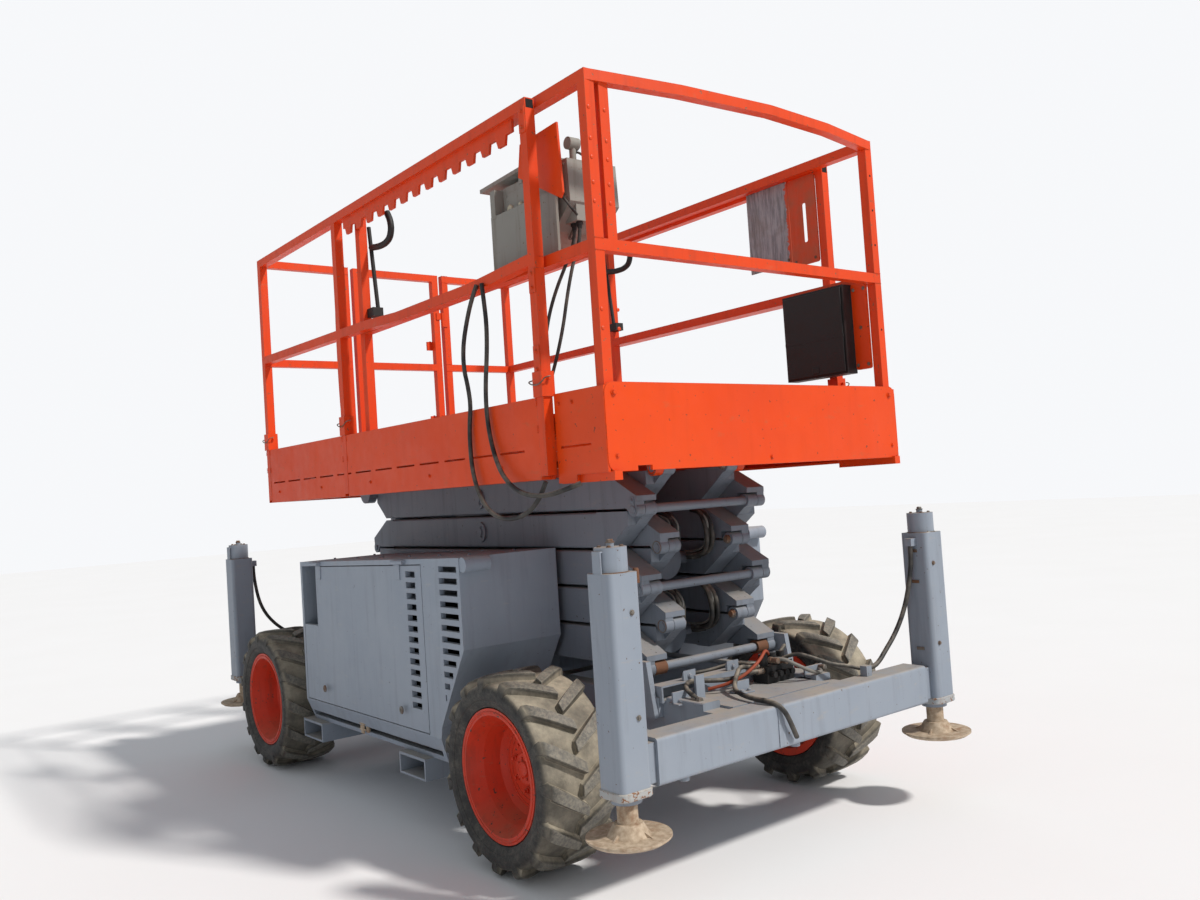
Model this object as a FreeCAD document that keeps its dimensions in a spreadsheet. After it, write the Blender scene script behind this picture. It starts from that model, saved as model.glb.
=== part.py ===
import FreeCAD, Part
import math
import os
import re
import Sketcher
from FreeCAD import Placement, Rotation, Vector

os.makedirs("parts", exist_ok=True)
doc = FreeCAD.newDocument("ScissorLift")

# Frame: X towards the roll-out end, Y to the left, Z up, ground at zero. Sizes are in
# millimetres and count X from midway between the axles. Each piece is set back by
# middle when it is done, so the origin is under the middle of the whole machine.

sizes = dict(
    middle=74.5,
    # wheels and axles
    axle_place=1100, hub_height=345, wheel_plane=716, rim_half=130, flange_reach=229,
    bead_reach=205, dish_reach=112, carcass_reach=322, tyre_reach=345, tyre_half=150,
    kingpin_place=600, kingpin_reach=20, kingpin_play=0.5, hub_reach=118, hub_core=46,
    axle_deep=80, axle_wide=110, ear_low=60, ear_high=85, ear_back=60, ear_half=38,
    steer_arm=140, steer_low=38, steer_high=18, tie_drop=55, tie_reach=13, tie_eye=22,
    ball_reach=10, ball_play=0.4,
    # main frame
    frame_end=1600, frame_low=430, frame_top=560, frame_in=250, frame_out=330,
    bracket_in=350, bracket_out=372, cross_wide=90, nose_back=1350, nose_front=1410,
    nose_low=540, nose_top=598, nose_out=345, socket_left=140,
    socket_right=170, socket_deep=54, pan_low=528, pan_top=542,
    pocket_low=214, pocket_top=281, pocket_wall=9, pocket_long=200, pocket_wide=220,
    pocket_front=280, pocket_rear=-720, eye_place=1403, eye_height=348, eye_bore=20,
    eye_out=44, eye_thick=16,
    # outriggers
    post_out=844, post_in=728, post_back=1671, post_front=1787, post_low=398, post_top=1049,
    post_wall=9, post_corner=18, beam_low=398, beam_top=542, beam_front=1771, beam_back=1660,
    beam_corner=12, beam_gap=40, neck_in=12, strap_left=-125, strap_right=-155,
    strap_thick=3, leg_reach=32, leg_play=0.4, leg_low=290, leg_top=960, pad_reach=130,
    pad_low=258, pad_thick=16, cap_reach=50, cap_top=1126, collar_drop=14, collar_reach=57,
    # side pods
    pod_out=800, pod_in=362, pod_back=-665, pod_front=850, pod_foot=620, pod_low=292,
    pod_top=1083, pod_top_back=1045, pod_bend=745, pod_knee=655, pod_knee_height=440,
    pod_tuck=40, tuck_top=392, wall=22, door_front=556, door_gap=4, door_drop=21,
    vent_long=78, vent_deep=24, vent_pitch=43, vent_first=1013, vent_place=464,
    grille_back=695, grille_front=828, notch_front=-484, notch_low=750,
    hinge_reach=9, hinge_out=9.5, hinge_long=50,
    # scissor stack
    front_pin=1307, rear_pin=-790, level_zero=643, level_pitch=144, arm_deep=134,
    tube_front=1160, tube_rear=-660, outer_in=238, outer_out=334, inner_in=136,
    inner_out=232, lug_wide=38, lug_gap=2, hub_round=26, neck_gap=10, seam_gap=5, slit=4,
    pin_reach=13, pin_play=0.5, cross_reach=17, boss_reach=44, roller_reach=56, track_gap=2,
    roller_in=240, roller_out=326,
    # lift cylinders
    barrel_eye=1050, rod_eye=-250, barrel_reach=70, rod_reach=40, rod_shown=187.951,
    eye_reach=44, eye_pin=24, rod_end_gap=8,
    # deck
    deck_rear=-1101, deck_front=1396, deck_out=773, skirt_low=1343, skirt_top=1615,
    skirt_thick=10, floor_top=1490, floor_thick=8, bearer_low=1421, bearer_in=338,
    bearer_out=388, slot_high=1440, slot_long=152, slot_pitch=196, slot_deep=7,
    # guard rails
    rail_side=38, rail_line=755, top_rail=2592, mid_rail=2070, rear_rail=-1080,
    hinge_drop=360, high_drop=282, knuckle_high=40, knuckle_round=7, sign_back=985,
    sign_front=1225, sign_drop=367, small_back=1231, small_front=1376, small_drop=387,
    mid_post=-140, front_post=1396, gate_left=283, gate_right=-262, post_fit=0.3,
    rack_start=-57, rack_pitch=104, rack_high=2530, rack_low=2498, base_high=84,
    # roll-out deck
    ext_rear=-60, ext_front=1689, ext_out=730, ext_floor=1514, ext_line=706, ext_post=5,
    ext_top_rail=2605, ext_mid_rail=2066, ext_bow=60, panel_low=1351, panel_top=1631,
    panel_corner=34, panel_thick=12, panel_out=737,
)
sheet = doc.addObject("Spreadsheet::Sheet", "Sizes")
for row, (name, size) in enumerate(sizes.items(), start=1):
    sheet.set("A%d" % row, name)
    sheet.set("B%d" % row, str(size))
    sheet.setAlias("B%d" % row, name)
doc.recompute()

word = re.compile(r"[A-Za-z_]\w*")


def ex(text):
    """The expression for a size, with each sheet name made complete."""
    return word.sub(lambda m: "Sizes." + m.group() if m.group() in sizes else m.group(),
                    str(text))


def val(text):
    return float(sheet.evalExpression(ex(text)))


# Building blocks. Each takes its places and sizes as expressions of sheet names.

turns = {"x": Rotation(Vector(0, 1, 0), 90), "y": Rotation(Vector(1, 0, 0), -90),
         "z": Rotation()}
planes = {"x": "YZ_Plane", "y": "XZ_Plane", "z": "XY_Plane"}


def place(piece, x=0, y=0, z=0, turn=None):
    piece.Placement = Placement(Vector(val(x), val(y), val(z)), turn or Rotation())
    for key, size in (("x", x), ("y", y), ("z", z)):
        piece.setExpression("Placement.Base." + key, ex(size))
    return piece


def block(x, y, z):
    """A box from pairs of low and high places."""
    box = doc.addObject("Part::Box", "Block")
    for key, (low, high) in zip(("Length", "Width", "Height"), (x, y, z)):
        box.setExpression(key, ex("(%s) - (%s)" % (high, low)))
    return place(box, x[0], y[0], z[0])


def rod(axis, centre, ends, radius):
    """A round bar along an axis between two places, through a centre on it."""
    piece = doc.addObject("Part::Cylinder", "Rod")
    piece.setExpression("Radius", ex(radius))
    piece.setExpression("Height", ex("(%s) - (%s)" % (ends[1], ends[0])))
    spot = list(centre)
    spot.insert("xyz".index(axis), ends[0])
    return place(piece, *spot, turn=turns[axis])


def leaning(start, y, lean, ends, radius):
    """A round bar in the side plane from a start (x, z), at an angle from +X up to +Z."""
    piece = doc.addObject("Part::Cylinder", "Leaning")
    piece.setExpression("Radius", ex(radius))
    piece.setExpression("Height", ex("(%s) - (%s)" % (ends[1], ends[0])))
    place(piece, "%s + (%s) * cos(%s)" % (start[0], ends[0], lean), y,
          "%s + (%s) * sin(%s)" % (start[1], ends[0], lean), Rotation(Vector(0, 1, 0), 45))
    piece.setExpression("Placement.Rotation.Angle", ex("90 deg - (%s)" % lean))
    return piece


def join(pieces):
    if len(pieces) == 1:
        return pieces[0]
    whole = doc.addObject("Part::MultiFuse", "Join")
    whole.Shapes = pieces
    return whole


def cut(base, tools):
    whole = doc.addObject("Part::Cut", "Cut")
    whole.Base = base
    whole.Tool = join(tools)
    return whole


def mirror(piece, normal=(0, 1, 0), at=None):
    other = doc.addObject("Part::Mirroring", "Mirror")
    other.Source = piece
    other.Base = Vector(0, 0, 0)
    other.Normal = Vector(*normal)
    if at:
        other.Base = Vector(val(at), 0, 0)
        other.setExpression("Base.x", ex(at))
    return other


def both(*pieces):
    return list(pieces) + [mirror(piece) for piece in pieces]


def sketch_on(body, role, points):
    plane = [f for f in body.Origin.OriginFeatures if f.Role == role][0]
    drawing = body.newObject("Sketcher::SketchObject", "Profile")
    drawing.AttachmentSupport = [(plane, "")]
    drawing.MapMode = "FlatFace"
    spots = [Vector(val(a), val(b), 0) for a, b in points]
    count = len(spots)
    for i in range(count):
        drawing.addGeometry(Part.LineSegment(spots[i], spots[(i + 1) % count]), False)
    for i in range(count):
        drawing.addConstraint(Sketcher.Constraint("Coincident", i, 2, (i + 1) % count, 1))
    for i, (a, b) in enumerate(points):
        for kind, size in (("DistanceX", a), ("DistanceY", b)):
            index = drawing.addConstraint(
                Sketcher.Constraint(kind, -1, 1, i, 1, val(size)))
            drawing.setExpression("Constraints[%d]" % index, ex(size))
    return drawing


def plate(points, ends, axis="y", corner=None):
    """A shape pushed out along an axis between two places, its long edges rounded if asked."""
    body = doc.addObject("PartDesign::Body", "Plate")
    drawing = sketch_on(body, planes[axis], points)
    pad = body.newObject("PartDesign::Pad", "Pad")
    pad.Profile = drawing
    pad.setExpression("Length", ex("(%s) - (%s)" % (ends[1], ends[0])))
    pad.Reversed = axis == "y"
    body.Tip = pad
    if corner:
        doc.recompute([drawing, pad])
        way = Vector(*[float(letter == axis) for letter in "xyz"])
        names = ["Edge%d" % (i + 1) for i, edge in enumerate(pad.Shape.Edges)
                 if abs(edge.tangentAt(edge.FirstParameter) * way) > 0.99]
        soft = body.newObject("PartDesign::Fillet", "Soft")
        soft.Base = (pad, names)
        soft.setExpression("Radius", ex(corner))
        body.Tip = soft
    shift = {"x": 0, "y": 0, "z": 0, axis: ends[0]}
    return place(body, **shift)


def tube(x, y, z, axis, corner):
    """A rounded box section from pairs of low and high places."""
    across = {"x": (y, z), "y": (x, z), "z": (x, y)}[axis]
    (a, b), (c, d) = across
    return plate([(a, c), (b, c), (b, d), (a, d)], {"x": x, "y": y, "z": z}[axis], axis, corner)


def turned(points, x, y, z, axis="y"):
    """A round piece about an axis: points are reach and place along the axis."""
    body = doc.addObject("PartDesign::Body", "Turned")
    drawing = sketch_on(body, "XZ_Plane", points)
    spin = body.newObject("PartDesign::Revolution", "Spin")
    spin.Profile = drawing
    spin.ReferenceAxis = (drawing, ["V_Axis"])
    spin.Angle = 360
    body.Tip = spin
    return place(body, x, y, z, turn=turns[axis])


def hose(name, points, reach):
    """A round hose along straight runs joined by arcs that touch them."""
    spots = [Vector(*point) for point in points]
    edges = []
    last = spots[0]
    radii = []
    for before, corner, after in zip(spots, spots[1:], spots[2:]):
        back, ahead = before - corner, after - corner
        keep = 0.45 * min(back.Length, ahead.Length)
        back.normalize()
        ahead.normalize()
        start, stop = corner + back * keep, corner + ahead * keep
        split = back + ahead
        half = back.getAngle(ahead) / 2
        radius = keep * math.tan(half)
        radii.append(radius)
        split.normalize()
        top = corner + split * (radius / math.sin(half) - radius)
        edges.append(Part.LineSegment(last, start).toShape())
        edges.append(Part.Arc(start, top, stop).toShape())
        last = stop
    edges.append(Part.LineSegment(last, spots[-1]).toShape())
    path = Part.Wire(edges)
    first = spots[1] - spots[0]
    ring = Part.Wire([Part.makeCircle(reach, spots[0], first)])
    piece = doc.addObject("Part::Feature", "Hose")
    piece.Shape = path.makePipeShell([ring], True, False, 2)
    share = piece.Shape.Volume / (math.pi * reach ** 2 * path.Length)
    print(name, "length", round(path.Length), "smallest radius", round(min(radii)), "volume", round(share, 3))
    return piece


nodes = {}


def node(name, pieces, tools=()):
    whole = join(pieces)
    if tools:
        whole = cut(whole, list(tools))
    done = doc.addObject("Part::Compound", "Node")
    done.Links = [whole]
    done.Label = name
    nodes[name] = place(done, "-middle")
    return whole


# Main frame: two long rails, cross members, roller tracks, the front pin brackets, the
# nose with its two open sockets, and the fork pockets that carry the side pods.

frame_rear = "2 * middle - frame_end"
rails = both(tube((frame_rear, "frame_end"), ("frame_in", "frame_out"), ("frame_low", "frame_top"),
                  "x", "8"))
cross = [block((x, "%s + cross_wide" % x), ("-frame_in", "frame_in"), ("frame_low", "pan_low + 2"))
         for x in (frame_rear + " + 20", "-760", "-120", "520", "1280")]
nose = [block(("nose_back", "nose_front"), ("-nose_out", "nose_out"), ("nose_low", "nose_top")),
        block(("nose_front - 10", "frame_end + 59.7"), ("-frame_in", "frame_in"), ("pan_low", "pan_top"))]
sockets = [block(("nose_front - socket_deep", "nose_front + 5"), y, ("nose_low + 6", "nose_top - 6"))
           for y in (("-nose_out + 8", "-socket_right"), ("socket_left", "nose_out - 8"))]
track = both(block(("rear_pin - 90", "rear_pin + 1120"), ("roller_in - 4", "frame_out + 4"),
                   ("frame_top - 2", "level_zero - roller_reach - track_gap")))
bracket = both(plate([("front_pin - 90", "frame_low + 60"), ("front_pin + 90", "frame_low + 60"),
                      ("front_pin + 60", "level_zero + 40"), ("front_pin - 60", "level_zero + 40")],
                     ("bracket_in", "bracket_out")),
               block(("front_pin - 90", "front_pin + 90"), ("frame_out - 4", "bracket_in + 2"),
                     ("frame_low + 60", "frame_top")))
hangers = []
pockets = []
for x in ("pocket_rear", "pocket_front"):
    hangers += [block((x, x + " + pocket_wide"), ("-pod_out", "pod_out"),
                      ("pocket_low - pocket_wall", "pod_low"))]
    hangers += both(block((x + " + 20", x + " + pocket_long"), ("frame_in", "frame_out"),
                          ("pocket_top", "frame_low + 10")))
    pockets.append(block((x + " + 10", x + " + 10 + pocket_long"), ("-pod_out - 5", "pod_out + 5"),
                         ("pocket_low", "pocket_top")))
eyes = both(block(("middle + eye_place - eye_thick / 2", "middle + eye_place + eye_thick / 2"),
                  ("frame_in + 10", "frame_out + 60"), ("eye_height - eye_out", "frame_low + 20")))
eyes += [mirror(eye, (1, 0, 0), "middle") for eye in eyes]
bores = [rod("y", ("front_pin", "level_zero"), ("-bracket_out - 5", "bracket_out + 5"),
             "pin_reach + pin_play")]
for y in ("frame_out + 30", "-frame_out - 30"):
    bores += [rod("x", (y, "eye_height"), ("middle + eye_place - 30", "middle + eye_place + 30"), "eye_bore"),
              rod("x", (y, "eye_height"), ("middle - 1403 - 30", "middle - 1403 + 30"), "eye_bore")]
tabs = [block((1490, 1500), (-262, -222), ("pan_top - 2", 632))]
node("main_frame", rails + cross + nose + track + bracket + hangers + eyes + tabs,
     pockets + bores + sockets)

# Valves on the frame's front pan: a block with its coils and ports.

coils = [rod("z", (x, y), ("pan_top + 60", "pan_top + 104"), 17)
         for x, y in ((1462, 120), (1462, 168), (1462, 216))]
ports = [rod("x", (y, "pan_top + 34"), ("1500", "1524"), 11) for y in (118, 150, 182, 214)]
node("front_valves", [block((1430, 1502), (96, 240), ("pan_top", "pan_top + 62"))] + coils + ports)

# Outrigger frames: a cross beam and two rounded square posts, each with a leg inside.

leg_x, leg_y = "(post_back + post_front) / 2", "(post_in + post_out) / 2"
post = tube(("post_back", "post_front"), ("post_in", "post_out"), ("post_low", "post_top"),
            "z", "post_corner")
hollow = tube(("post_back + post_wall", "post_front - post_wall"),
              ("post_in + post_wall", "post_out - post_wall"), ("post_low + 10", "post_top - 12"),
              "z", "post_corner - post_wall")
beam = tube(("beam_back", "beam_front"), ("beam_gap - post_in", "post_in - beam_gap"),
            ("beam_low", "beam_top"), "y", "beam_corner")
neck = block(("beam_back + 2 * neck_in", "beam_front - neck_in"),
             ("post_in - beam_gap - 5", "post_in + 2"), ("beam_low + neck_in", "beam_top - neck_in"))
stub = block(("frame_end", "beam_back + 2"), ("frame_in", "frame_out"), ("frame_low", "beam_top - 8"))
cap = rod("z", (leg_x, leg_y), ("post_top - 1", "cap_top"), "cap_reach")
collar = rod("z", (leg_x, leg_y), ("post_low - collar_drop", "post_low + 1"), "collar_reach")
step = rod("z", (leg_x, leg_y), ("post_low - 2 * collar_drop", "post_low - collar_drop + 1"),
           "collar_reach - 10")
loop = [block((leg_x + " - 20", leg_x + " + 20"), ("post_out - 30", "post_out - 1.5"),
              ("cap_top - 14", "cap_top - 10")),
        block((leg_x + " - 20", leg_x + " + 20"), ("post_out - 5.5", "post_out - 1.5"),
              ("post_top - 1", "cap_top - 10"))]
knob = rod("z", (leg_x, leg_y), ("cap_top - 1", "cap_top + 14"), 12)
strap = [block(("beam_back + 6", "beam_front + strap_thick"), ("strap_right", "strap_left"),
               ("beam_top - 1", "beam_top + strap_thick")),
         block(("beam_front - 1", "beam_front + strap_thick"), ("strap_right", "strap_left"),
               ("beam_low + 8", "beam_top + strap_thick"))]
lumps = [rod("z", (1738, y), ("beam_low - 14", "beam_low + 2"), 17) for y in (-560, -44)]
holes = both(hollow, rod("z", (leg_x, leg_y), ("post_low - 3 * collar_drop", "post_low + 20"),
                         "leg_reach + leg_play"))
shared = both(post, neck, stub, cap, collar, step, knob, *loop) + [beam]
fittings = [block((1714, 1744), ("post_in - 34", "post_in + 1"), (1000, 1030)),
            block((1686, 1716), (400, 430), ("beam_top - 1", "beam_top + 38"))]
node("front_outrigger_frame", shared + strap + lumps + fittings, holes)
turned_fittings = [mirror(mirror(piece, (0, 1, 0), 0), (1, 0, 0), "middle") for piece in fittings]
node("rear_outrigger_frame",
     [mirror(cut(join(shared), holes), (1, 0, 0), "middle")] + turned_fittings)

foot = turned([(0, 0), ("pad_reach - 14", 0), ("pad_reach", 10), ("pad_reach", "pad_thick"),
               ("leg_reach + 34", "pad_thick"), ("leg_reach + 12", "leg_low - pad_low + 20"),
               (0, "leg_low - pad_low + 20")], leg_x, leg_y, "pad_low", axis="z")
leg = join([foot, rod("z", (leg_x, leg_y), ("leg_low", "leg_top"), "leg_reach")])
other_leg = mirror(leg)
node("front_left_leg", [leg])
node("front_right_leg", [other_leg])
node("rear_left_leg", [mirror(leg, (1, 0, 0), "middle")])
node("rear_right_leg", [mirror(other_leg, (1, 0, 0), "middle")])

# Axles and steering knuckles.

beam_z = ("hub_height - axle_deep / 2", "hub_height + axle_deep / 2")
for end, x, reach in (("front", "axle_place", "kingpin_place - 50"),
                      ("rear", "-axle_place", "wheel_plane - 60")):
    pieces = [tube((x + " - axle_wide / 2", x + " + axle_wide / 2"), ("-(%s)" % reach, reach),
                   beam_z, "y", "10")]
    pieces += both(block((x + " - 90", x + " + 90"), ("frame_in", "frame_out - 10"),
                         ("hub_height + axle_deep / 2 - 4", "frame_low")))
    drills = []
    if end == "front":
        for low, high in (("hub_height - ear_high", "hub_height - ear_low"),
                          ("hub_height + ear_low", "hub_height + ear_high")):
            pieces += both(block((x + " - ear_half", x + " + ear_half"),
                                 ("kingpin_place - ear_back", "kingpin_place + 24"), (low, high)))
        pieces += both(block((x + " - ear_half", x + " + ear_half"),
                             ("kingpin_place - ear_back - 2", "kingpin_place - ear_back + 16"),
                             ("hub_height - ear_high", "hub_height + ear_high")))
        drills = both(rod("z", (x, "kingpin_place"), ("hub_height - 130", "hub_height + 130"),
                          "kingpin_reach + kingpin_play"))
    else:
        pieces += both(rod("y", (x, "hub_height"), ("wheel_plane - 150", "wheel_plane - 22.3"),
                           "hub_reach"))
        pieces.append(turned([(0, -150), (90, -130), (150, -60), (150, 60), (90, 130), (0, 150)],
                             x, 0, "hub_height"))
    node(end + "_axle", pieces, drills)

x = "axle_place"
hub = rod("y", (x, "hub_height"), ("kingpin_place - 14", "wheel_plane - 30"), "hub_core")
drum = rod("y", (x, "hub_height"), ("kingpin_place + 62", "wheel_plane - 22.3"), "hub_reach")
pin = rod("z", (x, "kingpin_place"), ("hub_height - 110", "hub_height + 110"), "kingpin_reach")
arm = block((x + " - steer_arm - 18", x + " - 4"), ("kingpin_place - 15", "kingpin_place + 15"),
            ("hub_height - steer_low", "hub_height - steer_high"))
ball = rod("z", (x + " - steer_arm", "kingpin_place"), ("hub_height - 74", "hub_height - 30"),
           "ball_reach")
knuckle = join([hub, drum, pin, arm, ball])
node("front_left_knuckle", [knuckle])
node("front_right_knuckle", [mirror(knuckle)])

tie_x, tie_z = "axle_place - steer_arm", "hub_height - tie_drop"
tie = [rod("y", (tie_x, tie_z), ("9 - kingpin_place", "kingpin_place - 9"), "tie_reach")]
tie += both(rod("z", (tie_x, "kingpin_place"), (tie_z + " - 15", tie_z + " + 15"), "tie_eye"))
node("tie_rod", tie, both(rod("z", (tie_x, "kingpin_place"), (tie_z + " - 20", tie_z + " + 20"),
                              "ball_reach + ball_play")))

# Wheels: a deep stepped rim, and a tyre of flat sectors with a slanted lug on each edge.

rim_points = [("dish_reach + 93", "rim_half"), ("flange_reach", "rim_half"),
              ("flange_reach", "rim_half - 12"), ("bead_reach + 2", "rim_half - 16"),
              ("bead_reach - 14", "rim_half - 60"), ("bead_reach - 14", "-rim_half + 50"),
              ("bead_reach + 2", "-rim_half + 16"), ("flange_reach", "-rim_half + 12"),
              ("flange_reach", "-rim_half"), ("bead_reach - 6", "-rim_half"),
              ("bead_reach - 24", "-rim_half + 44"), ("bead_reach - 24", "-34"),
              ("dish_reach + 30", "-22"), (40, "-22"), (40, "-10"),
              ("dish_reach + 34", "-10"), ("dish_reach + 50", "12"), ("bead_reach - 26", "rim_half - 60")]
tyre_points = [("bead_reach + 2.3", "-rim_half + 16.6"), ("flange_reach + 0.3", "-rim_half + 12.6"),
               ("flange_reach + 3", "-rim_half"), ("flange_reach + 37", "-tyre_half"),
               ("carcass_reach - 8", "-tyre_half + 22"), ("carcass_reach - 8", "tyre_half - 22"),
               ("flange_reach + 37", "tyre_half"), ("flange_reach + 3", "rim_half"),
               ("flange_reach + 0.3", "rim_half - 12.6"), ("bead_reach + 2.3", "rim_half - 16.6")]
sectors = 30
turn = 360 / sectors
half_width = "tyre_reach * %r" % math.tan(math.radians(turn / 2))
wedge = plate([(0, 0), ("tyre_reach", "-" + half_width), ("tyre_reach", half_width)],
              ("-tyre_half - 1", "tyre_half + 1"), "z")
sector = doc.addObject("Part::MultiCommon", "Sector")
sector.Shapes = [plate(tyre_points, ("-" + half_width, half_width)), wedge]


def spun(piece, angle):
    """A copy of a wheel piece, turned about the wheel's own axis."""
    copy = doc.addObject("Part::Compound", "Spun")
    copy.Links = [piece]
    copy.Placement = Placement(Vector(), Rotation(Vector(0, 0, 1), angle))
    return copy


# corners of a lug's foot: around the tread, across the tread
lug_foot = [(-8, 144), (-60, 144), (14, -10), (58, -10)]
lug_rise = ("carcass_reach - 52", "tyre_reach - 4.1")
lugs = [plate([(a, side * b) for a, b in lug_foot], lug_rise, "x") for side in (1, -1)]
unit = join([sector, spun(sector, turn), spun(lugs[0], turn / 2), spun(lugs[1], 3 * turn / 2)])
ring = join([spun(unit, turn * (2 * i + 0.5)) for i in range(sectors // 2)])
rim = turned(rim_points, 0, 0, 0)
for end, x in (("front", "axle_place"), ("rear", "-axle_place")):
    for kind, shape, spin in (("rim", rim, Rotation()), ("tyre", ring, turns["y"])):
        wheel = doc.addObject("Part::Compound", "Wheel")
        wheel.Links = [shape]
        place(wheel, x, "wheel_plane", "hub_height", spin)
        node("%s_left_%s" % (end, kind), [wheel])
        node("%s_right_%s" % (end, kind), [mirror(wheel)])

# Side pods: a tray with a slanted nose, a tucked lower edge and a grille, and a door that
# lifts, with a column of vents and a cut-away corner.


def lid(x):
    return "(pod_top_back + ((%s) - pod_back) * (pod_top - pod_top_back) / (pod_front - pod_back))" % x


lid_lean = "atan((pod_top - pod_top_back) / (pod_front - pod_back))"
pod_outline = [("pod_back", "pod_low"), ("pod_foot", "pod_low"), ("pod_knee", "pod_knee_height"),
               ("pod_front", "pod_bend"), ("pod_front", "pod_top"), ("pod_back", "pod_top_back")]
pod_inside = [("pod_back + wall", "pod_low + wall"), ("pod_foot - wall", "pod_low + wall"),
              ("pod_knee - wall", "pod_knee_height + wall / 2"),
              ("pod_front - wall", "pod_bend + wall / 2"), ("pod_front - wall", "pod_top - wall - 1"),
              ("pod_back + wall", "pod_top_back - wall")]
door_back = "pod_back + wall"
mouth_line = [(door_back, "tuck_top + 4"), ("door_front", "tuck_top + 4"),
              ("door_front", lid("door_front") + " - door_drop"), (door_back, lid(door_back) + " - door_drop")]
door_line = [(door_back + " + door_gap", "tuck_top + 4 + door_gap"),
             ("door_front - door_gap", "tuck_top + 4 + door_gap"),
             ("door_front - door_gap", lid("door_front") + " - door_drop - door_gap"),
             ("notch_front", lid("notch_front") + " - door_drop - door_gap"),
             ("notch_front", "notch_low"), (door_back + " + door_gap", "notch_low")]
shell = plate(pod_outline, ("pod_in", "pod_out"))
hollow = plate(pod_inside, ("pod_in + wall", "pod_out - wall"))
mouth = plate(mouth_line, ("pod_out - wall - 5", "pod_out + 5"))
tuck = plate([("pod_out - pod_tuck", "pod_low - 1"), ("pod_out + 2", "pod_low - 1"),
              ("pod_out + 2", "tuck_top"), ("pod_out", "tuck_top")],
             ("pod_back - 5", "pod_front + 5"), "x")
grille = []
for row in range(12):
    z = "pod_bend + 305 - %d * 44" % row
    reach = "grille_front" if row < 7 else (
        "pod_knee - 30 + (%s - pod_knee_height) * (pod_front - pod_knee) / (pod_bend - pod_knee_height)" % z)
    grille.append(block(("grille_back", reach), ("pod_out - wall - 5", "pod_out + 5"),
                        (z + " - 22", z)))
seats = []
leaves = []
for x in (-520, 380):
    axis = ("%s" % x, lid(x) + " - door_drop + 10")
    seats.append(leaning(axis, "pod_out + hinge_out", lid_lean, ("0", "hinge_long"), "hinge_reach"))
    seats.append(block((x, "%s + hinge_long" % x), ("pod_out - 4", "pod_out + hinge_out - 0.5"),
                       (axis[1] + " - 4", axis[1] + " + 5")))
    start = "%s + (hinge_long + 0.3) * %s" % (x, 1 if x < 0 else -1)
    axis = (start, lid(start) + " - door_drop + 10")
    leaves.append(leaning(axis, "pod_out + hinge_out", lid_lean, ("0", "hinge_long"), "hinge_reach"))
    leaves.append(block((start, start + " + hinge_long"), ("pod_out + 0.4", "pod_out + 4"),
                        (axis[1] + " - 70", axis[1])))
    leaves.append(block((start, start + " + hinge_long"), ("pod_out - 2", "pod_out + 3"),
                        (axis[1] + " - 68", axis[1] + " - 18")))
tube_end = rod("y", ("pod_front + 20", "pod_top - 26"), ("pod_out - 112", "pod_out - 2"), 28)
tray = join([cut(shell, [hollow, mouth, tuck] + grille), tube_end] + seats)
vents = [block(("vent_place - vent_long / 2", "vent_place + vent_long / 2"),
               ("pod_out - wall - 5", "pod_out + 5"),
               ("vent_first - %d * vent_pitch - vent_deep / 2" % row,
                "vent_first - %d * vent_pitch + vent_deep / 2" % row)) for row in range(13)]
door = cut(plate(door_line, ("pod_out - wall", "pod_out")), vents)
door = join([door] + leaves)
node("left_pod", [tray])
node("right_pod", [mirror(tray)])
node("left_pod_door", [door])
node("right_pod_door", [mirror(door)])
node("engine_block", [block((-150, 420), ("-740", "-pod_in - wall"), ("pod_low + wall", 830))])

# Scissor stack: five outer and five inner pairs of rounded tubes. Each end tapers to a
# round lug. A pair's upper lugs hold the pins, and the next pair's lugs turn on them.


def level(k):
    return "level_zero + %g * level_pitch" % k


seam_gap = "(level_pitch - arm_deep) / 2"
ends = {"front": ("front_pin", "tube_front", 1), "rear": ("rear_pin", "tube_rear", -1)}


def arm_end(kind, k, which, high):
    """The left arm's end at its high or low pin: a tapered neck and a lug beside it."""
    pin, edge, way = ends[which]
    near, far = kind + "_in", kind + "_out"
    seam = level(k if high else k - 1)
    back = "%s - %d * 70" % (edge, way)

    def at(step):
        return "%s + %d * (%s)" % (pin, way, step)

    if high:
        band = (near, far + " - lug_wide - lug_gap")
        neck = [(back, seam + " - " + seam_gap), (at("-hub_round - neck_gap"), seam + " - " + seam_gap),
                (at("-hub_round - neck_gap"), seam + " - 56"),
                (edge, "%s - %s - arm_deep" % (seam, seam_gap)),
                (back, "%s - %s - arm_deep" % (seam, seam_gap))]
        lug = [(at("-hub_round - 18"), seam + " - " + seam_gap), (at("4"), seam + " - " + seam_gap),
               (at("14"), seam + " - 16"), (at("-hub_round - 18"), seam + " - 61")]
    else:
        band = (far + " - lug_wide", far)
        over = seam + " + hub_round + slit"
        neck = [(back, seam + " + " + seam_gap), (at("-hub_round - 8"), seam + " + " + seam_gap),
                (at("-hub_round - 8"), over), (at("22"), over), (at("22"), over + " + 20"),
                (edge, "%s + %s + arm_deep" % (seam, seam_gap)),
                (back, "%s + %s + arm_deep" % (seam, seam_gap))]
        lug = [(at("-hub_round - 12"), seam + " + " + seam_gap), (at("-20"), seam + " - 12"),
               (at("20"), seam + " - 12"), (at("20"), over + " + 4"), (at("-hub_round - 12"), over + " + 4")]
    return [plate(neck, (near, far)), plate(lug, band), rod("y", (pin, seam), band, "hub_round")]


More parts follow.
